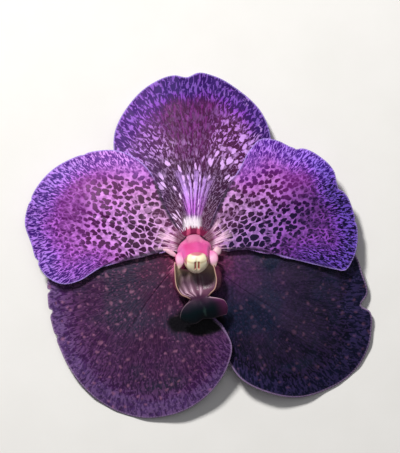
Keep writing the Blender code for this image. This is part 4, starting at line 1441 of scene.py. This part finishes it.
def small_finish(name, fineness, roughness, make_colour):
    """A material with the shared skin and a colour made by its own steps."""
    r = Finish(name)
    skin = r.group(skin_group, fineness=fineness)
    return r.shade({
        "Base Color": make_colour(r, skin["Tone"]),
        "Roughness": r.fade(skin["Tone"], 0.3, 0.7, roughness - 0.06, roughness + 0.08),
        "Normal": r.bump(skin["Height"], 0.35, 0.0001),
    })


for piece, name, fineness, roughness, make_colour in (
    (ears, "ears", 1.4, 0.55, ear_colour),
    (claw_rolls, "claw_rolls", 1.4, 0.45, roll_colour),
    (column, "column", 1.4, 0.42, column_colour),
    (cap, "anther_cap", 1.8, 0.34, cap_colour),
    (pollinia, "pollinia", 2.0, 0.4, pollen_colour),
    (stalk, "ovary_stalk", 1.0, 0.46, stalk_colour),
):
    piece.data.materials.append(small_finish(name, fineness, roughness, make_colour))

# %% [markdown]
# ## The studio
# The bloom lies on a plain pale table under one large soft light from the head of the picture,
# a weaker one from above and the even light of a pale room. A sun lamp would throw hard
# shadows across the pattern; area lights show the relief and leave the colours alone.

# %% Table and lights


def add_table(size):
    """One square of table, size metres across, at height zero."""
    half = size / 2
    mesh = bpy.data.meshes.new("table")
    corners = [(-half, -half, 0.0), (half, -half, 0.0), (half, half, 0.0), (-half, half, 0.0)]
    mesh.from_pydata(corners, [], [(0, 1, 2, 3)])
    table = bpy.data.objects.new("table", mesh)
    bpy.context.scene.collection.objects.link(table)
    r = Finish("table")
    grain = r.noise(r.place(), 60.0, 4.0)
    colour = r.mix(grain, paint(228, 226, 222), paint(236, 234, 231))
    mesh.materials.append(r.shade({"Base Color": colour, "Roughness": 0.7}))


def add_light(name, place, size, power, colour):
    """A square soft light that faces the bloom's middle."""
    data = bpy.data.lights.new(name, "AREA")
    data.size, data.energy, data.color = size, power, colour
    light = bpy.data.objects.new(name, data)
    bpy.context.scene.collection.objects.link(light)
    light.location = place
    light.rotation_euler = (-light.location).to_track_quat("-Z", "Y").to_euler()


add_table(4.0)
add_light("key", (-0.24, 0.40, 0.58), 0.10, 6.2, (1.0, 0.99, 0.97))
add_light("fill", (0.05, 0.15, 0.78), 0.4, 0.8, (0.95, 0.96, 1.0))
world = bpy.data.worlds.new("pale room")
world.use_nodes = True
world.node_tree.nodes["Background"].inputs["Color"].default_value = (0.9, 0.92, 0.95, 1.0)
world.node_tree.nodes["Background"].inputs["Strength"].default_value = 0.12
bpy.context.scene.world = world
bpy.context.scene.view_settings.view_transform = "Standard"
print("lights:", len(bpy.data.lights))

# %% [markdown]
# The camera looks down at the bloom's face from 0.8 m and a few degrees to the left, with a
# long lens, which keeps the blades' proportions.

# %% Camera
DISTANCE = 0.8
WIDTH_IN_VIEW = 0.1422
LEAN = math.radians(-3.8)

camera_data = bpy.data.cameras.new("camera")
camera_data.sensor_width = 36.0
camera_data.lens = 36.0 * DISTANCE / WIDTH_IN_VIEW
camera_data.clip_start = 0.01
camera = bpy.data.objects.new("camera", camera_data)
bpy.context.scene.collection.objects.link(camera)
camera.location = (
    -0.00019 + DISTANCE * math.sin(LEAN), 0.00592, 0.009 + DISTANCE * math.cos(LEAN)
)
camera.rotation_euler = (0.0, LEAN, 0.0)
bpy.context.scene.camera = camera
print("lens in mm:", round(camera_data.lens, 1))
